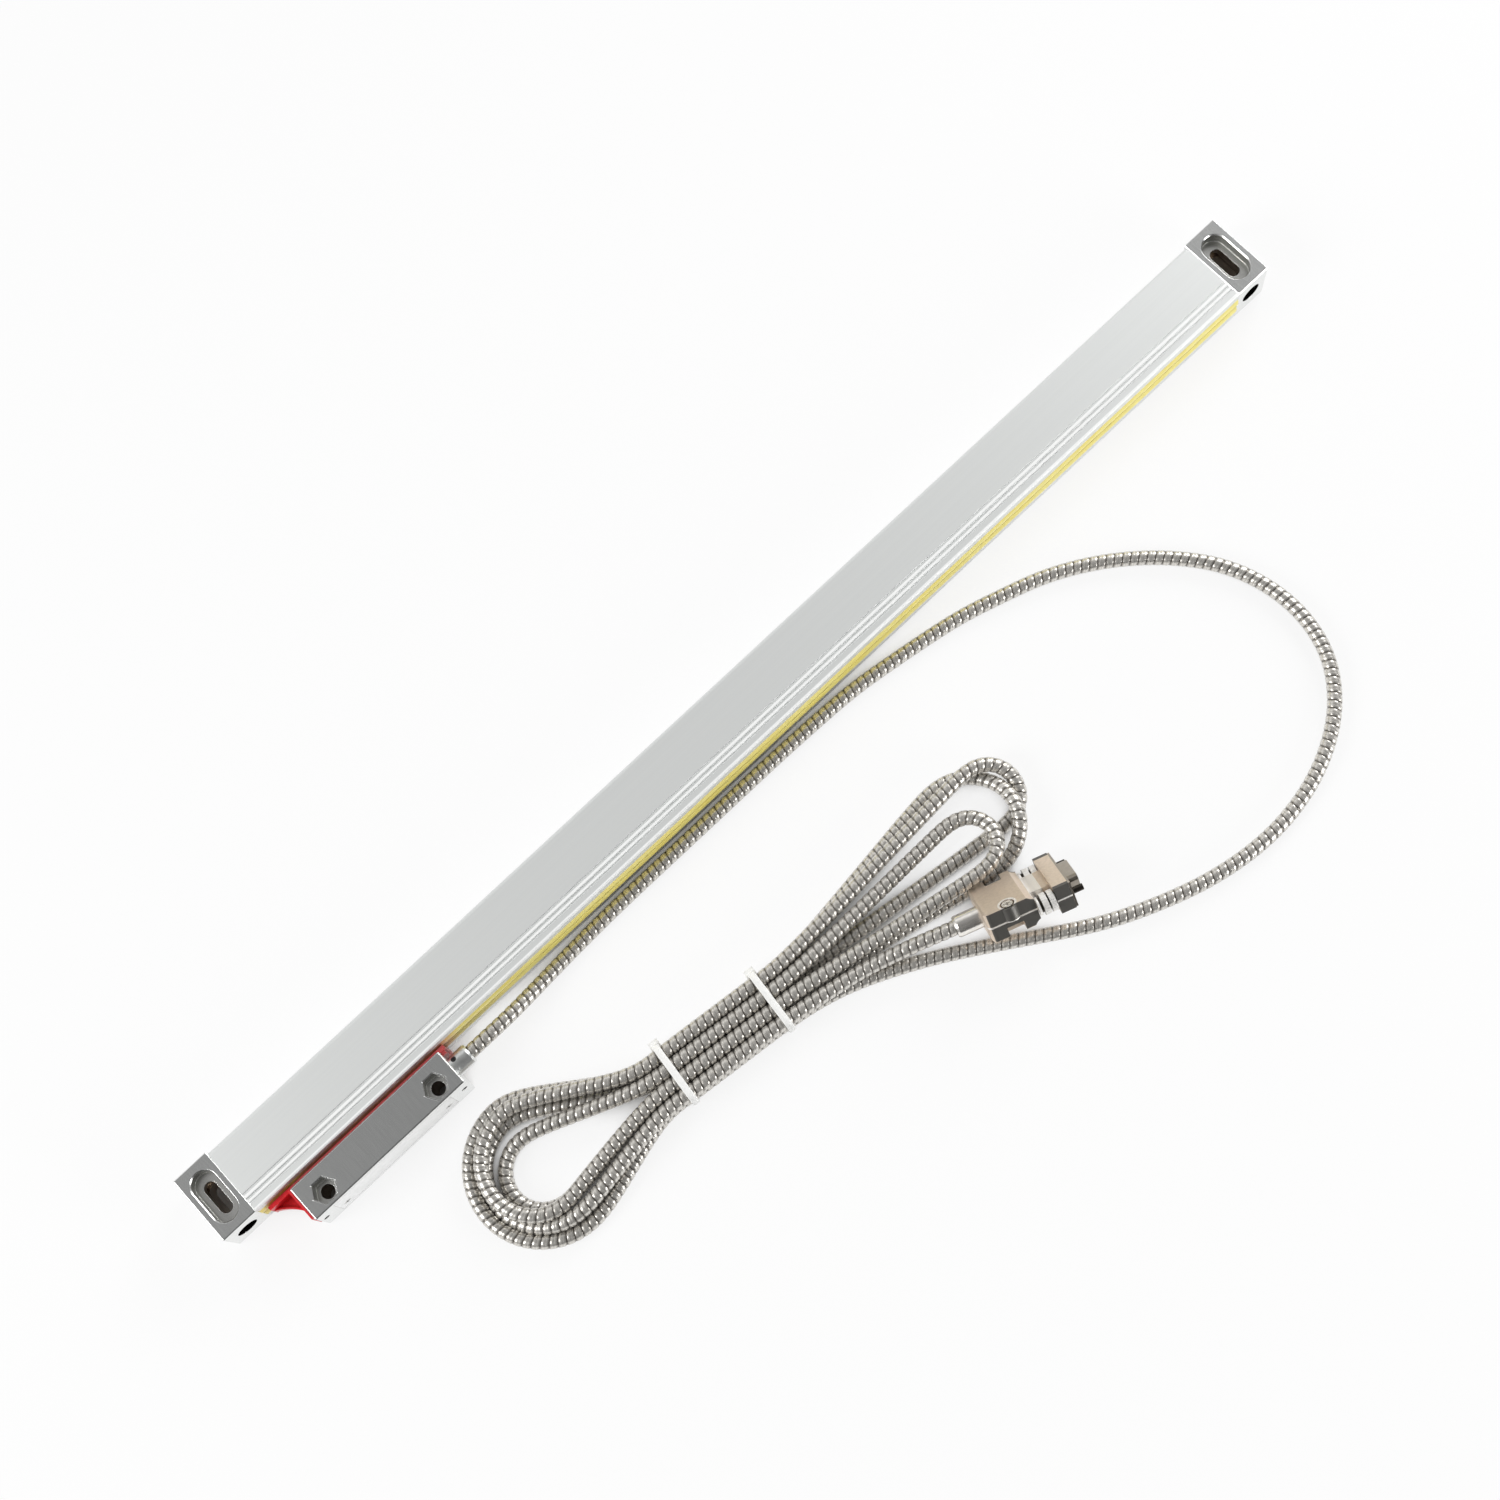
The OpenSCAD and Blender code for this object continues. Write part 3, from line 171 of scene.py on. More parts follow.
def distance_along(line):
    """Distance from the start of a line to each of its points."""
    return np.concatenate([[0], np.cumsum(np.linalg.norm(np.diff(line, axis=0), axis=1))])


def equal_steps(line, step):
    """The same line with its points at equal distances of about one step."""
    s = distance_along(line)
    q = np.linspace(0, s[-1], int(round(s[-1] / step)) + 1)
    return np.stack([np.interp(q, s, line[:, i]) for i in range(3)], 1)


route = np.vstack([lead_route + gland_mouth, *hank_points, tail_route + gland_mouth])
line_step = 0.001
hose_line = smooth_line(route, line_step, window=5, passes=3)
hose_line[:, 2] = np.maximum(hose_line[:, 2], hose_r)
hose_line = equal_steps(hose_line, line_step)


def frames_along(line):
    """Side and up vectors across a line, carried along it without twist: each pair is
    the last one with its part along the new direction taken out."""
    forward = np.gradient(line, axis=0)
    forward /= np.linalg.norm(forward, axis=1)[:, None]
    side = np.zeros_like(line)
    side[0] = np.cross(forward[0], (0, 0, 1))
    for i in range(1, len(line)):
        carried = side[i - 1] - forward[i] * (side[i - 1] @ forward[i])
        side[i] = carried / np.linalg.norm(carried)
    return side, np.cross(side, forward)


def mesh_piece(name, points, faces):
    """A mesh object in its final place, from points and faces given as index arrays."""
    mesh = bpy.data.meshes.new(name)
    mesh.from_pydata(np.asarray(points, float).tolist(), [], [list(f) for f in faces])
    mesh.polygons.foreach_set("use_smooth", [True] * len(mesh.polygons))
    mesh.update()
    piece = bpy.data.objects.new(name, mesh)
    collection.objects.link(piece)
    return piece


# One pitch is a rounded ridge with a shallow groove along its middle and a deep seam
wind_pitch = 0.00378
wind_sides = 14
wind_depth = 0.0004
wind_seam = np.array([1.0, 0.4, 0.1, 0.0, 0.22, 0.0, 0.1, 0.4])
wind_rings = len(wind_seam)


def wound_tube(name, line):
    """A tube round a line whose rings run as one screw: side k of ring i stands at
    (i + rings * k / sides) steps along, where a pitch is `rings` steps, and its radius
    is the hose's less the depth times the seam profile's value for that ring. Where the
    sides close, ring i meets ring i + rings."""
    step = wind_pitch / wind_rings
    s = distance_along(line)
    count = int(s[-1] / step) - wind_rings
    i, k = np.meshgrid(np.arange(count + 1), np.arange(wind_sides), indexing="ij")
    at = (i + wind_rings * k / wind_sides) * step
    side, up = frames_along(line)

    def along(values):
        return np.stack([np.interp(at, s, values[:, c]) for c in range(3)], -1)
    angle = 2 * np.pi * k / wind_sides
    seam = wind_seam[i % wind_rings]
    radius = (hose_r - wind_depth * seam)[..., None]
    across = along(side) * np.cos(angle)[..., None] + along(up) * np.sin(angle)[..., None]
    points = (along(line) + radius * across).reshape(-1, 3)
    row = np.arange(count)[:, None] * wind_sides
    col = np.arange(wind_sides - 1)[None, :]
    a = (row + col).ravel()
    quads = np.stack([a, a + wind_sides, a + wind_sides + 1, a + 1], 1)
    b = np.arange(count - wind_rings) * wind_sides + wind_sides - 1
    c = b + 1 + (wind_rings - 1) * wind_sides
    closing = np.stack([b, b + wind_sides, c + wind_sides, c], 1)
    first = list(range(wind_sides)) + [r * wind_sides for r in range(wind_rings, 0, -1)]
    end = count * wind_sides
    last = list(range(end, end + wind_sides))
    last += [end - (r - 1) * wind_sides - 1 for r in range(1, wind_rings + 1)]
    caps = []
    for loop, centre, turned in ((first, line[0], False), (last, line[-1], True)):
        points = np.vstack([points, centre])
        hub = len(points) - 1
        for p, q in zip(loop, loop[1:] + loop[:1]):
            caps.append((hub, q, p) if turned else (hub, p, q))
    piece = mesh_piece(name, points, quads.tolist() + closing.tolist() + caps)
    # The seam profile at each point, from which the hose material paints shade into the seams
    seam_shade = piece.data.attributes.new("seam", "FLOAT", "POINT")
    seam_shade.data.foreach_set("value", np.concatenate([seam.ravel(), [0, 0]]))
    return piece


def new_material(name, colour, metallic, roughness):
    """A material whose shader has these constants, with its node tree and its shader."""
    material = bpy.data.materials.new(name)
    material.use_nodes = True
    tree = material.node_tree
    shader = tree.nodes["Principled BSDF"]
    shader.inputs["Base Color"].default_value = (*colour, 1)
    shader.inputs["Metallic"].default_value = metallic
    shader.inputs["Roughness"].default_value = roughness
    return material, tree, shader


def grain(tree, scale, detail=3):
    """A noise on object coordinates, stretched by a scale on each axis (per metre)."""
    place = tree.nodes.new("ShaderNodeTexCoord")
    stretch = tree.nodes.new("ShaderNodeMapping")
    noise = tree.nodes.new("ShaderNodeTexNoise")
    stretch.inputs["Scale"].default_value = scale
    noise.inputs["Scale"].default_value = 1
    noise.inputs["Detail"].default_value = detail
    noise.inputs["Roughness"].default_value = 0.6
    tree.links.new(place.outputs["Object"], stretch.inputs["Vector"])
    tree.links.new(stretch.outputs["Vector"], noise.inputs["Vector"])
    return noise.outputs["Fac"]


def ramp(tree, value, stops, target=None):
    """Runs a value through a colour ramp with stops (place, colour), into a socket."""
    node = tree.nodes.new("ShaderNodeValToRGB")
    elements = node.color_ramp.elements
    while len(elements) < len(stops):
        elements.new(0.5)
    for element, (place, colour) in zip(elements, stops):
        element.position = place
        element.color = (*colour, 1) if hasattr(colour, "__len__") else (colour,) * 3 + (1,)
    tree.links.new(value, node.inputs["Fac"])
    if target is not None:
        tree.links.new(node.outputs["Color"], target)
    return node.outputs["Color"]


def bumped(tree, shader, value, strength, distance, edge):
    """Bump from a value, on edges that are softened over a width."""
    bump = tree.nodes.new("ShaderNodeBump")
    bump.inputs["Strength"].default_value = strength
    bump.inputs["Distance"].default_value = distance
    tree.links.new(value, bump.inputs["Height"])
    tree.links.new(bump.outputs["Normal"], shader.inputs["Normal"])
    bevel = tree.nodes.new("ShaderNodeBevel")
    bevel.samples = 4
    bevel.inputs["Radius"].default_value = edge
    tree.links.new(bevel.outputs["Normal"], bump.inputs["Normal"])


def hose_steel():
    """Warm stainless strip; painted shade, with a little oil, darkens it from ridge to seam.
    """
    material, tree, shader = new_material("hose_steel", (0.6, 0.56, 0.5), 0.7, 0.28)
    seam = tree.nodes.new("ShaderNodeAttribute")
    seam.attribute_name = "seam"
    # Painted shade: the base colour runs from light on the ridges to near black in the seams
    ramp(tree, seam.outputs["Fac"],
         [(0.0, (0.76, 0.735, 0.69)), (0.2, (0.60, 0.575, 0.53)), (0.5, (0.38, 0.36, 0.33)),
          (1.0, (0.08, 0.07, 0.06))],
         shader.inputs["Base Color"])
    ramp(tree, grain(tree, (400,) * 3), [(0.3, 0.20), (0.7, 0.34)],
         shader.inputs["Roughness"])
    return material


hose = wound_tube("armoured_hose", hose_line)
hose.data.materials.append(hose_steel())
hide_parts("hose_lead", "hose_hank", "hose_tail")
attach(hose, "read_head")

# ---- Cable ties ---------------------------------------------------------------------
# Two flat white nylon straps, pulled tight round the eight strands. Each strap's tongue
# passes through a square lock on the rail's side and is cut off short behind it.
tie_width = 0.0033
tie_half = 0.01435
tie_top = 0.0152
tie_edge = 0.0003
tie_round = 0.0034
lock_half = 0.0024
lock_depth = 0.0029
lock_heights = (0.0041, 0.0089)


def rounded_loop(half, bottom, top, radius):
    """A rectangle with round corners of eight points each, as (across, z) in order."""
    corners = [(half, bottom, -90), (half, top, 0), (-half, top, 90), (-half, bottom, 180)]
    points = []
    for x, z, start in corners:
        a = np.radians(start + np.linspace(0, 90, 8))
        cx = x - math.copysign(radius, x)
        cz = z + radius if z == bottom else z - radius
        points += list(zip(cx + radius * np.cos(a), cz + radius * np.sin(a)))
    return np.array(points)


def tie_band(name, centre):
    """A strap and its lock. The strap is the loop round the strands and the same loop a
    strap's thickness out, carried across its width with the two edges rounded off."""
    inner = rounded_loop(tie_half, tie_strap, tie_top, tie_round)
    outer = rounded_loop(tie_half + tie_strap, 0.0, tie_top + tie_strap,
                         tie_round + tie_strap)
    half = tie_width / 2
    section = [(0, -half), (1 - tie_edge / tie_strap, -half), (1, -half + tie_edge),
               (1, half - tie_edge), (1 - tie_edge / tie_strap, half), (0, half)]
    rings = []
    for out, u in section:
        loop = inner + (outer - inner) * out
        flat = np.array(centre) + u * hank_along + loop[:, :1] * hank_across
        rings.append(np.column_stack([flat, loop[:, 1]]))
    n, m = len(inner), len(section)
    j, i = np.divmod(np.arange(n * m), n)
    next_i, next_j = (i + 1) % n, (j + 1) % m
    faces = np.stack([j * n + i, next_j * n + i, next_j * n + next_i, j * n + next_i], 1)
    root = tie_half + tie_strap / 2
    block = [(*(centre + u * hank_along + out * hank_across), z)
             for u in (-lock_half, lock_half)
             for out in (root, tie_half + tie_strap + lock_depth) for z in lock_heights]
    block_faces = np.array([(0, 1, 3, 2), (4, 6, 7, 5), (0, 4, 5, 1),
                            (2, 3, 7, 6), (0, 2, 6, 4), (1, 5, 7, 3)])
    faces = np.vstack([faces, block_faces + n * m])
    return mesh_piece(name, np.vstack(rings + [block]), faces)


def tie_nylon():
    """Natural white nylon, faintly uneven."""
    material, tree, shader = new_material("tie_nylon", (0.93, 0.93, 0.91), 0, 0.4)
    ramp(tree, grain(tree, (300,) * 3),
         [(0.3, (0.92, 0.92, 0.90)), (0.7, (0.96, 0.96, 0.94))],
         shader.inputs["Base Color"])
    return material


ties = [tie_band(f"cable_tie_{i + 1}", c) for i, c in enumerate(tie_centres)]
nylon = tie_nylon()
for tie in ties:
    tie.data.materials.append(nylon)
    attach(tie, "read_head")
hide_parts("cable_ties")

# ---- Rail ---------------------------------------------------------------------------
# A hollow aluminium extrusion, silver anodised, cut to length. The die leaves fine lines
# along it, and the two beads and the bevel on top carry painted highlights.
rail_half_w = 0.0175
# Heights between which the top of the section begins
rail_top_z = (0.0242, 0.0244)


def rescaled(tree, value, low, high, to_low=0.0, to_high=1.0):
    """A value run from one range to another and held at that range's ends."""
    node = tree.nodes.new("ShaderNodeMapRange")
    node.inputs["From Min"].default_value = low
    node.inputs["From Max"].default_value = high
    node.inputs["To Min"].default_value = to_low
    node.inputs["To Max"].default_value = to_high
    tree.links.new(value, node.inputs["Value"])
    return node.outputs["Result"]


def along_axis(tree, axis, low, high):
    """An object coordinate run from 0 at one place to 1 at another."""
    place = tree.nodes.new("ShaderNodeTexCoord")
    split = tree.nodes.new("ShaderNodeSeparateXYZ")
    tree.links.new(place.outputs["Object"], split.inputs["Vector"])
    return rescaled(tree, split.outputs[axis], low, high)


def calc(tree, operation, first, second=0.0):
    """One operation on two values, each given or linked."""
    node = tree.nodes.new("ShaderNodeMath")
    node.operation = operation
    for socket, value in zip(node.inputs, (first, second)):
        if isinstance(value, (int, float)):
            socket.default_value = value
        else:
            tree.links.new(value, socket)
    return node.outputs[0]


def mix(tree, share, first, second):
    """Blends two colours, each given or linked, by a linked share: 0 gives the first."""
    node = tree.nodes.new("ShaderNodeMix")
    node.data_type = "RGBA"
    tree.links.new(share, node.inputs["Factor"])
    # The node has one pair of inputs for each kind of value; 6 and 7 are the colours
    for socket, value in ((node.inputs[6], first), (node.inputs[7], second)):
        if isinstance(value, tuple):
            socket.default_value = (*value, 1)
        else:
            tree.links.new(value, socket)
    return node.outputs[2]


def anodised():
    """Silver anodising with die lines along X, with painted highlights on the beads and the
    bevel.
    """
    material, tree, shader = new_material("anodised", (0.70, 0.71, 0.69), 0.6, 0.5)
    lines = grain(tree, (3, 900, 900), 2)
    face = ramp(tree, lines, [(0.3, (0.785, 0.80, 0.79)), (0.7, (0.80, 0.815, 0.805))])
    # Painted highlights on the front bevel and the two beads, as shares of the rail's width
    # from its front. Each fades in and out over a short way, and the bevel's begins at the
    # edge.
    fade = 0.004
    bead_highlight_stops = [(0, 1), (0.036, 1), (0.036 + fade, 0)]
    for low, high in ((0.134, 0.163), (0.209, 0.238)):
        bead_highlight_stops += [(low - fade, 0), (low, 1), (high, 1), (high + fade, 0)]
    across = ramp(tree, along_axis(tree, "Y", -rail_half_w, rail_half_w), bead_highlight_stops)
    bead_highlight = calc(tree, "MULTIPLY", along_axis(tree, "Z", *rail_top_z), across)
    # Painted highlight: near-white base colour and less metallic on the bevel and the beads
    tree.links.new(mix(tree, bead_highlight, face, (0.97, 0.98, 0.97)), shader.inputs["Base Color"])
    ramp(tree, bead_highlight, [(0.0, 0.6), (1.0, 0.1)], shader.inputs["Metallic"])
    bumped(tree, shader, lines, 0.015, 0.0001, 0.0003)
    return material


def dress(material, *names):
    """Gives CAD nodes a material in place of the one they came with."""
    for name in names:
        slots = nodes[name].data.materials
        slots.clear()
        slots.append(material)


dress(anodised(), "housing_extrusion")

# ---- End blocks ---------------------------------------------------------------------
# Blocks of milled and anodised aluminium, plugged into the rail's ends over thin rubber
# gaskets and held by pan screws in counterbores. Their slots and bores carry painted shade.
block_h = 0.025
slot_x = 0.3115
slot_floor = 0.0185
slot_half = (0.0069, 0.0136)
bore_y, bore_z = -0.0139, 0.0125
bore_half = (0.0053, 0.0034, 0.0053)
# Middle and half height of the room under a block's top face
under_top_z, under_top_half = 0.0124, 0.01255


def near_point(tree, centre, half):
    """1 inside a box round a point, in object coordinates, and 0 outside it."""
    place = tree.nodes.new("ShaderNodeTexCoord")
    scaled = tree.nodes.new("ShaderNodeMapping")
    size = tree.nodes.new("ShaderNodeVectorMath")
    split = tree.nodes.new("ShaderNodeSeparateXYZ")
    scaled.inputs["Scale"].default_value = [1 / h for h in half]
    scaled.inputs["Location"].default_value = [-c / h for c, h in zip(centre, half)]
    size.operation = "ABSOLUTE"
    tree.links.new(place.outputs["Object"], scaled.inputs["Vector"])
    tree.links.new(scaled.outputs["Vector"], size.inputs[0])
    tree.links.new(size.outputs["Vector"], split.inputs["Vector"])
    across = calc(tree, "MAXIMUM", split.outputs["X"], split.outputs["Y"])
    return calc(tree, "LESS_THAN", calc(tree, "MAXIMUM", across, split.outputs["Z"]), 1)


def milled(name, floor_z, pockets, shaded_bores):
    """Bright cutter-marked aluminium. In each pocket, cut down from the top, the chamfer has
    a painted highlight, the walls painted shade, the floor is dull and the hole below it has
    brown painted shade. Bores are painted near black as shade."""
    material, tree, shader = new_material(name, (0.8, 0.81, 0.8), 1.0, 0.25)
    marks = grain(tree, (1500, 90, 1500), 3)
    colour = ramp(tree, marks, [(0.3, (0.80, 0.81, 0.80)), (0.7, (0.86, 0.87, 0.86))])
    hole_shade, dull = (0.52, 0.45, 0.38), (0.88, 0.88, 0.85)
    pocket_wall_shade, chamfer_highlight = (0.42, 0.42, 0.39), (0.84, 0.84, 0.83)
    level = floor_z / block_h
    # Painted light and shade by height in a pocket: brown shade in the hole, dark shade on
    # the walls, a highlight on the chamfer
    pocket_shading = ramp(tree, along_axis(tree, "Z", 0, block_h),
                  [(level - 0.02, hole_shade), (level - 0.01, dull), (level + 0.012, dull),
                   (level + 0.03, pocket_wall_shade), (0.965, pocket_wall_shade), (0.98, chamfer_highlight)])
    for box in pockets:
        colour = mix(tree, near_point(tree, *box), colour, pocket_shading)
    # Bores painted near black as shade
    for box in shaded_bores:
        colour = mix(tree, near_point(tree, *box), colour, (0.03, 0.028, 0.025))
    tree.links.new(colour, shader.inputs["Base Color"])
    bumped(tree, shader, marks, 0.02, 0.0001, 0.0003)
    return material


for name, side in (("left_end_block", -1), ("right_end_block", 1)):
    slot = ((side * slot_x, 0, under_top_z), (*slot_half, under_top_half))
    bore = ((side * slot_x, bore_y, bore_z), bore_half)
    dress(milled(f"milled_{name}", slot_floor, [slot], [bore]), name)


def plain(name, colour, metallic, roughness):
    """A finish with a little variation in its colour."""
    material, tree, shader = new_material(name, colour, metallic, roughness)
    spread = 0.06
    darker = tuple(c * (1 - spread) for c in colour)
    lighter = tuple(min(1, c * (1 + spread)) for c in colour)
    ramp(tree, grain(tree, (500,) * 3), [(0.3, darker), (0.7, lighter)],
         shader.inputs["Base Color"])
    return material


zinc = plain("zinc_steel", (0.62, 0.62, 0.60), 1, 0.3)
dress(plain("gasket_rubber", (0.03, 0.03, 0.03), 0, 0.6), "left_gasket", "right_gasket")
dress(zinc, "end_block_screws")

# ---- Lip seals ----------------------------------------------------------------------
# Two long yellow polyurethane lips, their roots pressed into grooves either side of the
# rail's open side. Their soft edges meet and let only the head's thin arm through. Behind
# the parked head they carry painted red-brown shade.
lip_shade_from, lip_shade_to = -0.284, -0.186
seal, tree, shader = new_material("seal_yellow", (0.98, 0.88, 0.36), 0, 0.35)
lip_yellow = ramp(tree, grain(tree, (60, 400, 400)),
             [(0.3, (1.0, 0.84, 0.20)), (0.7, (1.0, 0.90, 0.30))])
# Painted shade: red-brown on the stretch beside the parked head
lip_shade_band = ramp(tree, along_axis(tree, "X", lip_shade_from, lip_shade_to),
               [(0, 0), (0.1, 0.9), (0.9, 0.9), (1, 0)])
tree.links.new(mix(tree, lip_shade_band, lip_yellow, (0.60, 0.26, 0.18)), shader.inputs["Base Color"])
dress(seal, "upper_lip_seal", "lower_lip_seal")

# ---- Glass scale --------------------------------------------------------------------
# A ground glass strip with the graduations along it, glued to the rail's inner shelf
# with pale elastic adhesive that lets it keep its own length.
glass, tree, glass_shader = new_material("scale_glass", (0.85, 0.97, 0.93), 0, 0.03)
glass_shader.inputs["Transmission Weight"].default_value = 1
dress(glass, "glass_scale", "index_reticle")
dress(plain("bond", (0.8, 0.8, 0.76), 0, 0.6), "bonding_strip")

# ---- Reading head -------------------------------------------------------------------
# A milled aluminium block with two hexagon pockets over its mounting holes, a bright
# cover plate screwed over its opening in front, and black grub screws beside it.
head_x = -0.242
nut_side, nut_y = 0.0325, -0.0315
nut_floor = 0.0175
nut_half = (0.0068, 0.0068)
nut_pockets = [((head_x + side * nut_side, nut_y, under_top_z), (*nut_half, under_top_half))
               for side in (-1, 1)]
dress(milled("milled_head", nut_floor, nut_pockets, []), "head_block")
dress(plain("cover_aluminium", (0.95, 0.96, 0.95), 0.6, 0.35), "side_cover")
dress(zinc, "cover_screws")
dress(plain("black_oxide", (0.06, 0.06, 0.06), 0.8, 0.4), "head_set_screws", "gland_screw")

# ---- Transport spacer ---------------------------------------------------------------
# A red moulded plastic clip, pushed between the head and the rail to hold the gap for
# mounting and thrown away after. Its long thin wall in the gap is darkened with painted
# shade.
spacer_bright_to, spacer_shade_from = -0.2870, -0.2835
spacer, tree, shader = new_material("spacer_red", (0.7, 0.02, 0.03), 0, 0.3)
moulded = ramp(tree, grain(tree, (500,) * 3),
               [(0.3, (0.72, 0.015, 0.025)), (0.7, (0.80, 0.025, 0.035))])
# Painted shade: the long thin wall is darker red than the end of the clip
spacer_wall_shade = mix(tree, along_axis(tree, "X", spacer_bright_to, spacer_shade_from), moulded, (0.52, 0.08, 0.08))
tree.links.new(spacer_wall_shade, shader.inputs["Base Color"])
dress(spacer, "transport_spacer")

# ---- Boards and wires ---------------------------------------------------------------
# Two glass-fibre circuit boards with green solder mask, screwed to the head and the
# carriage, a brown polyimide ribbon between them and the black wires of the hose.
dress(plain("solder_mask", (0.03, 0.2, 0.08), 0, 0.3), "signal_board", "photocell_board")
dress(plain("polyimide", (0.6, 0.28, 0.04), 0, 0.3), "ribbon_cable")
dress(plain("wire_black", (0.03, 0.03, 0.03), 0, 0.5), "wire_bundle")
dress(zinc, "board_screws")

# ---- Scanning carriage --------------------------------------------------------------
# A black moulded carriage that runs along the glass on small ball bearings, held to the
# head's spring-steel arm by a wire spring, with a lamp on one side of the glass.
dress(plain("spring_steel", (0.66, 0.65, 0.63), 1, 0.25), "scanning_arm", "coupling_spring")
dress(plain("carriage_black", (0.05, 0.05, 0.055), 0.4, 0.45), "scan_carriage")
dress(plain("lamp_clear", (0.7, 0.7, 0.65), 0, 0.2), "lamp_module")
dress(plain("bearing_steel", (0.75, 0.75, 0.74), 1, 0.15), "face_roller_left",
      "face_roller_right", "edge_roller_left", "edge_roller_right")
dress(zinc, "arm_screws", "roller_axles")

# ---- Cable gland --------------------------------------------------------------------
# A turned aluminium sleeve, pushed into the head's end and held by a grub screw from
# above, in which the armour ends.
dress(plain("gland_aluminium", (0.80, 0.81, 0.80), 0.9, 0.3), "cable_gland")

# ---- Plug ---------------------------------------------------------------------------
# A D plug: two cast zinc half shells plated with dull nickel, screwed together round a
# bright pressed shell, and a turned ferrule where the armour enters.
plug_face = np.array([0.0518, -0.1542, 0.0163])
plug_out = np.array([0.943222, -0.332161, 0.0])
plug_side = np.array([0.2136, 0.6065, -0.766])
plug_up = np.array([0.254, 0.7225, 0.643])
# The hood in its own directions: just under half its thickness and half its width, the
# scoop's run along it, the screw's place back from the face and aside, and its recess
hood_face, hood_half_w = 0.0071, 0.0136
scoop_from, scoop_to = -0.0164, -0.0105
hood_screw_back, hood_screw_side = 0.0275, 0.0117
recess_r = 0.00338
joint_half = 0.0004


def plug_measure(tree, operation, origin, direction):
    """From object coordinates less an origin: the distance along a direction (its dot
    product) or the distance from a line in that direction (its cross product's length)."""
    place = tree.nodes.new("ShaderNodeTexCoord")
    value = place.outputs["Object"]
    for step, vector in (("SUBTRACT", origin), (operation, direction)):
        node = tree.nodes.new("ShaderNodeVectorMath")
        node.operation = step
        node.inputs[1].default_value = vector
        tree.links.new(value, node.inputs[0])
        value = node.outputs["Value" if step == "DOT_PRODUCT" else "Vector"]
    if operation == "CROSS_PRODUCT":
        node = tree.nodes.new("ShaderNodeVectorMath")
        node.operation = "LENGTH"
        tree.links.new(value, node.inputs[0])
        value = node.outputs["Value"]
    return value


def cast_nickel(name, side):
    """Matt nickel over a finely pitted casting, tan on the broad face, with painted shade on
    the side faces and in the screw's recess, and painted highlights along the joint, in the
    scoop and round the recess."""
    material, tree, shader = new_material(name, (0.80, 0.68, 0.56), 0.7, 0.42)
    pits = grain(tree, (700,) * 3, 4)
    colour = ramp(tree, pits, [(0.3, (0.70, 0.59, 0.48)), (0.7, (0.80, 0.68, 0.56))])
    height = plug_measure(tree, "DOT_PRODUCT", plug_face, plug_up * side)
    across = calc(tree, "ABSOLUTE", plug_measure(tree, "DOT_PRODUCT", plug_face, plug_side))
    along = plug_measure(tree, "DOT_PRODUCT", plug_face, plug_out)
    screw = plug_face - hood_screw_back * plug_out - side * hood_screw_side * plug_side
    radius = plug_measure(tree, "CROSS_PRODUCT", screw, plug_up)
    broad = calc(tree, "GREATER_THAN", height, hood_face)
    # The broad face is moved away by a metre, so that it never counts as an edge
    off_face = calc(tree, "ADD", across, calc(tree, "MULTIPLY", broad, -1))
    # Painted shade on the hood's side faces
    edge = calc(tree, "GREATER_THAN", off_face, hood_half_w)
    scoop_highlight = calc(tree, "MULTIPLY", calc(tree, "GREATER_THAN", along, scoop_from),
                 calc(tree, "LESS_THAN", along, scoop_to))
    # Stops in centimetres from the screw's axis
    rim_highlight = ramp(tree, calc(tree, "MULTIPLY", radius, 100), [(0.43, 1), (0.45, 0)])
    recess_shade = calc(tree, "LESS_THAN", radius, recess_r)
    joint_highlight = calc(tree, "LESS_THAN", height, joint_half)
    # Painted highlights in the scoop, round the recess and along the joint; painted shade on
    # the sides and in the recess
    hood_highlight = (0.97, 0.93, 0.88)
    for mask, painted_tone in ((scoop_highlight, hood_highlight), (edge, (0.13, 0.125, 0.115)),
                         (calc(tree, "MULTIPLY", rim_highlight, broad), hood_highlight),
                         (recess_shade, (0.10, 0.085, 0.07)), (joint_highlight, hood_highlight)):
        colour = mix(tree, mask, colour, painted_tone)
    tree.links.new(colour, shader.inputs["Base Color"])
    bumped(tree, shader, pits, 0.08, 0.0001, 0.0002)
    return material


dress(cast_nickel("cast_nickel_upper", 1), "hood_upper_half")
dress(cast_nickel("cast_nickel_lower", -1), "hood_lower_half")
bright_nickel = plain("bright_nickel", (0.92, 0.89, 0.84), 0.9, 0.22)
dress(bright_nickel, "hose_ferrule", "hood_screws", "cable_clamp")
dress(plain("tinned_steel", (0.40, 0.36, 0.31), 1, 0.3), "plug_shell")
dress(plain("insulator_black", (0.02, 0.02, 0.02), 0, 0.5), "plug_insulator")
dress(plain("contact_gold", (0.80, 0.58, 0.20), 1, 0.2), "contact_pins")

# ---- Thumbscrews --------------------------------------------------------------------
# Two long nickel-plated brass screws with knurled heads, loose in the hood's sides, that
# draw the plug home. Along them, bands of painted highlight alternate with painted shade.
knurled, tree, shader = new_material("knurled_nickel", (0.9, 0.87, 0.82), 1, 0.22)
wear = grain(tree, (600,) * 3)
ramp(tree, wear, [(0.3, 0.25), (0.7, 0.4)], shader.inputs["Roughness"])
waist_back = 0.016
waist = plug_face - waist_back * plug_out
along_screw = plug_measure(tree, "DOT_PRODUCT", waist, plug_out)
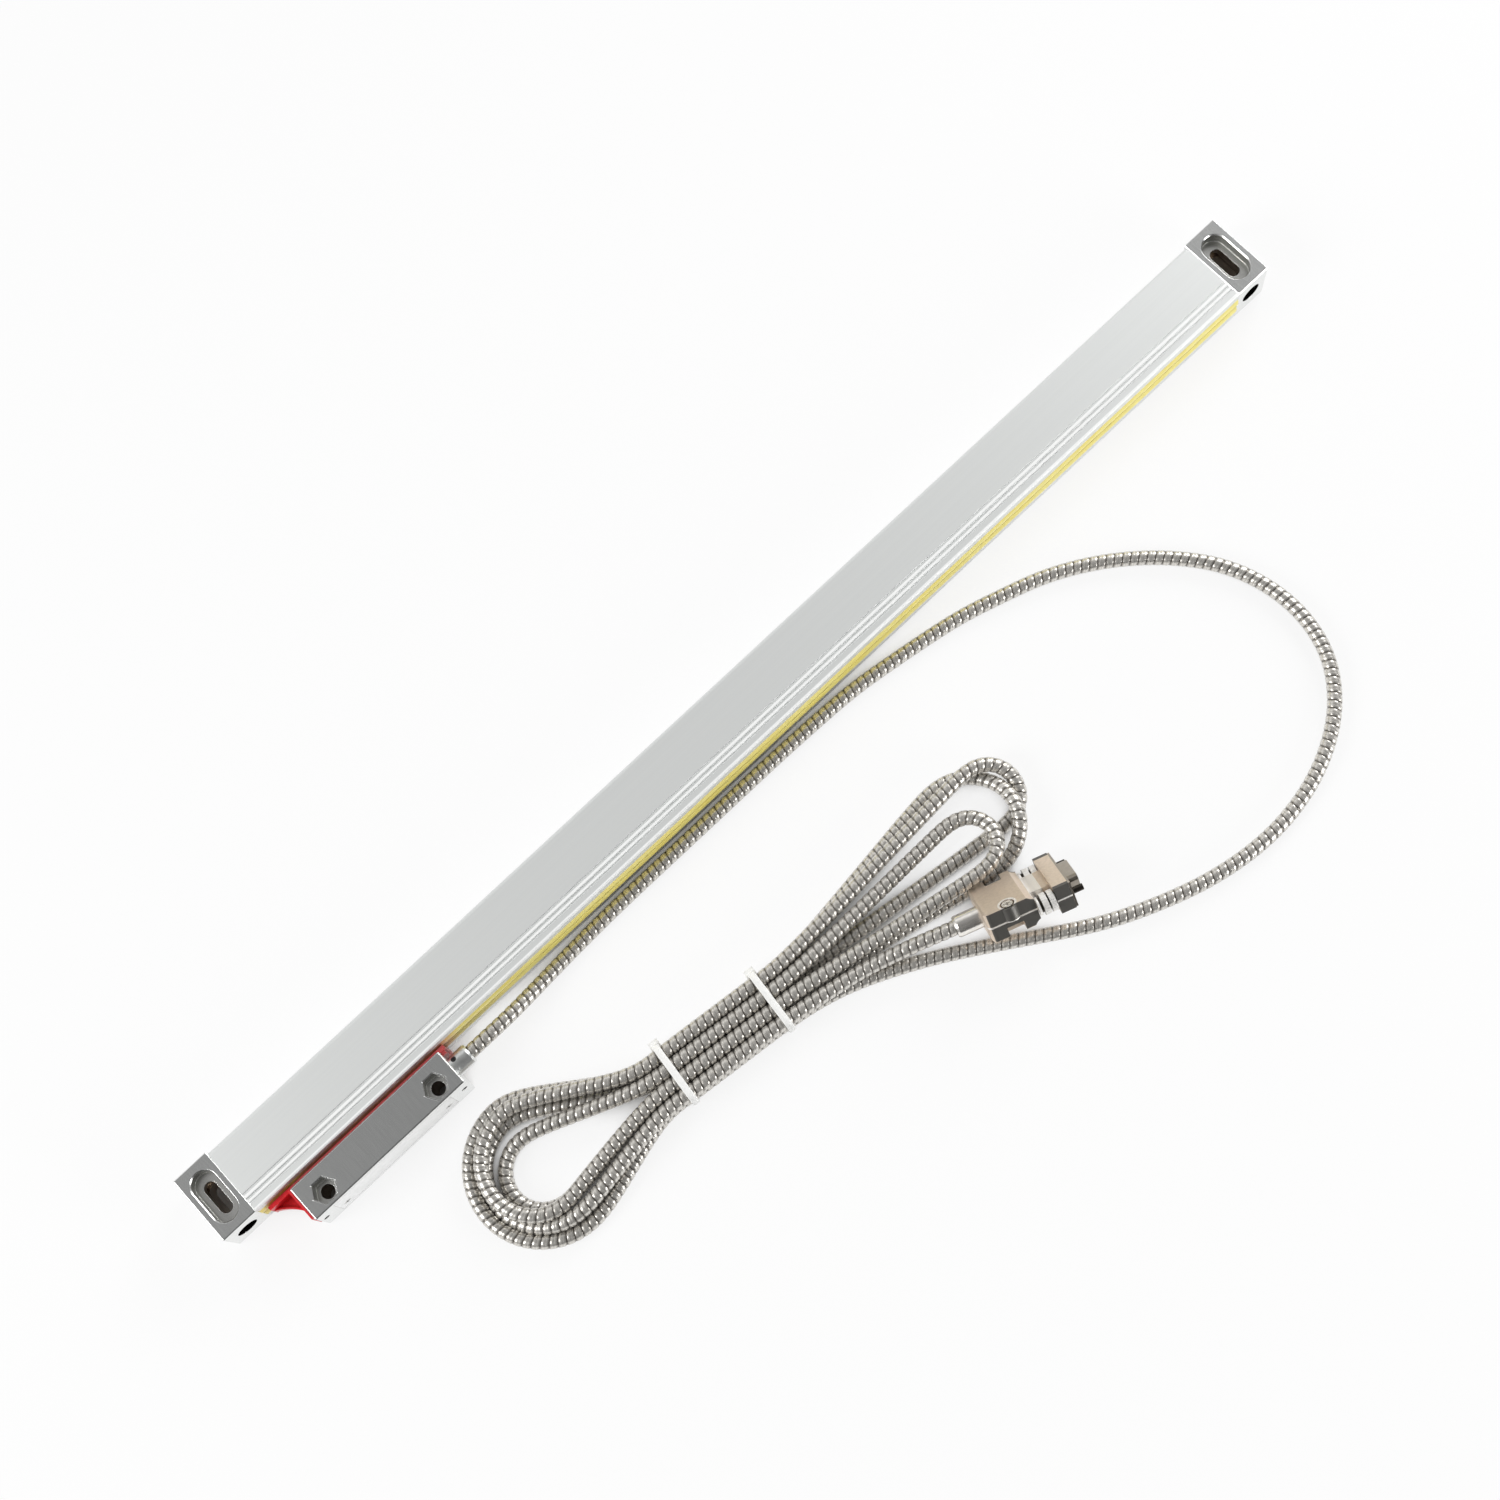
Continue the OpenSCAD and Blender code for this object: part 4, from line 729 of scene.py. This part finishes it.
# Bands of painted highlight (1) and painted shade (0), at centimetres along the screw from
# the hood's waist
screw_light_bands = ramp(tree, calc(tree, "MULTIPLY", along_screw, 100),
             [(0.115, 1), (0.125, 0), (0.235, 0), (0.245, 1), (0.505, 1), (0.515, 0),
              (0.585, 0), (0.595, 1), (0.845, 1), (0.855, 0)])
tree.links.new(mix(tree, screw_light_bands, (0.06, 0.052, 0.045), (0.97, 0.95, 0.91)),
               shader.inputs["Base Color"])
ramp(tree, screw_light_bands, [(0.0, 1.0), (1.0, 0.45)], shader.inputs["Metallic"])
bumped(tree, shader, wear, 0.02, 0.0001, 0.0004)
dress(knurled, "thumbscrew_left", "thumbscrew_right")

# ---- Floor, light and background ----------------------------------------------------
# A plain pale floor that runs out to the horizon, and square soft lamps to the left, to
# the right and in front, in a room that is bright half way up and darker overhead.
far = 8
floor = mesh_piece("floor", [(-far, -far, 0), (far, -far, 0), (far, far, 0), (-far, far, 0)],
                   [(0, 1, 2, 3)])
floor_paint, tree, shader = new_material("floor_paint", (0.88, 0.88, 0.88), 0, 0.9)
ray = tree.nodes.new("ShaderNodeLightPath")
white = tree.nodes.new("ShaderNodeEmission")
white.inputs["Strength"].default_value = 1.0
open_sky = tree.nodes.new("ShaderNodeAmbientOcclusion")
open_sky.inputs["Distance"].default_value = 0.02
place = tree.nodes.new("ShaderNodeTexCoord")
reach = tree.nodes.new("ShaderNodeVectorMath")
reach.operation = "LENGTH"
tree.links.new(place.outputs["Object"], reach.inputs[0])
# White where the sky is open, and fully so a metre and a half from the object
openness = rescaled(tree, open_sky.outputs["AO"], 0.15, 0.4)
whiter = rescaled(tree, reach.outputs["Value"], 0.5, 1.5, 0.85)
seen = calc(tree, "MAXIMUM", ray.outputs["Is Camera Ray"], ray.outputs["Is Glossy Ray"])
share = calc(tree, "MULTIPLY", calc(tree, "MULTIPLY", openness, whiter), seen)
blend = tree.nodes.new("ShaderNodeMixShader")
tree.links.new(share, blend.inputs["Fac"])
tree.links.new(shader.outputs["BSDF"], blend.inputs[1])
tree.links.new(white.outputs["Emission"], blend.inputs[2])
tree.links.new(blend.outputs["Shader"], tree.nodes["Material Output"].inputs["Surface"])
floor.data.materials.append(floor_paint)


def softbox(name, place, size, power):
    """A square area lamp that faces the middle of the scene."""
    data = bpy.data.lights.new(name, "AREA")
    data.size = size
    data.energy = power
    lamp = bpy.data.objects.new(name, data)
    lamp.location = place
    lamp.rotation_mode = "QUATERNION"
    lamp.rotation_quaternion = (-Vector(place)).to_track_quat("-Z", "Y")
    collection.objects.link(lamp)


softbox("left_box", (-1.6, 0.4, 1.1), 0.9, 20)
softbox("right_box", (1.6, 0.4, 0.8), 0.9, 17)
softbox("front_fill", (0.7, -1.5, 0.45), 0.8, 13)

world = bpy.data.worlds.new("studio")
world.use_nodes = True
bpy.context.scene.world = world
tree = world.node_tree
direction = tree.nodes.new("ShaderNodeTexCoord")
split = tree.nodes.new("ShaderNodeSeparateXYZ")
tree.links.new(direction.outputs["Generated"], split.inputs["Vector"])
room = tree.nodes["Background"]
# Brightness by height above the horizon, dimmed towards the front
by_height = ramp(tree, split.outputs["Z"], [(0.0, 0.35), (0.3, 0.55), (0.6, 0.95),
                                            (0.8, 0.55), (0.91, 0.245), (1.0, 0.215)])
from_front = rescaled(tree, split.outputs["Y"], -0.7, 0.1, 0.12)
tree.links.new(calc(tree, "MULTIPLY", by_height, from_front), room.inputs["Color"])
ray = tree.nodes.new("ShaderNodeLightPath")
white = tree.nodes.new("ShaderNodeBackground")
white.inputs["Color"].default_value = (1, 1, 1, 1)
blend = tree.nodes.new("ShaderNodeMixShader")
tree.links.new(ray.outputs["Is Camera Ray"], blend.inputs["Fac"])
tree.links.new(room.outputs["Background"], blend.inputs[1])
tree.links.new(white.outputs["Background"], blend.inputs[2])
tree.links.new(blend.outputs["Shader"], tree.nodes["World Output"].inputs["Surface"])

bpy.context.scene.view_settings.view_transform = "Standard"
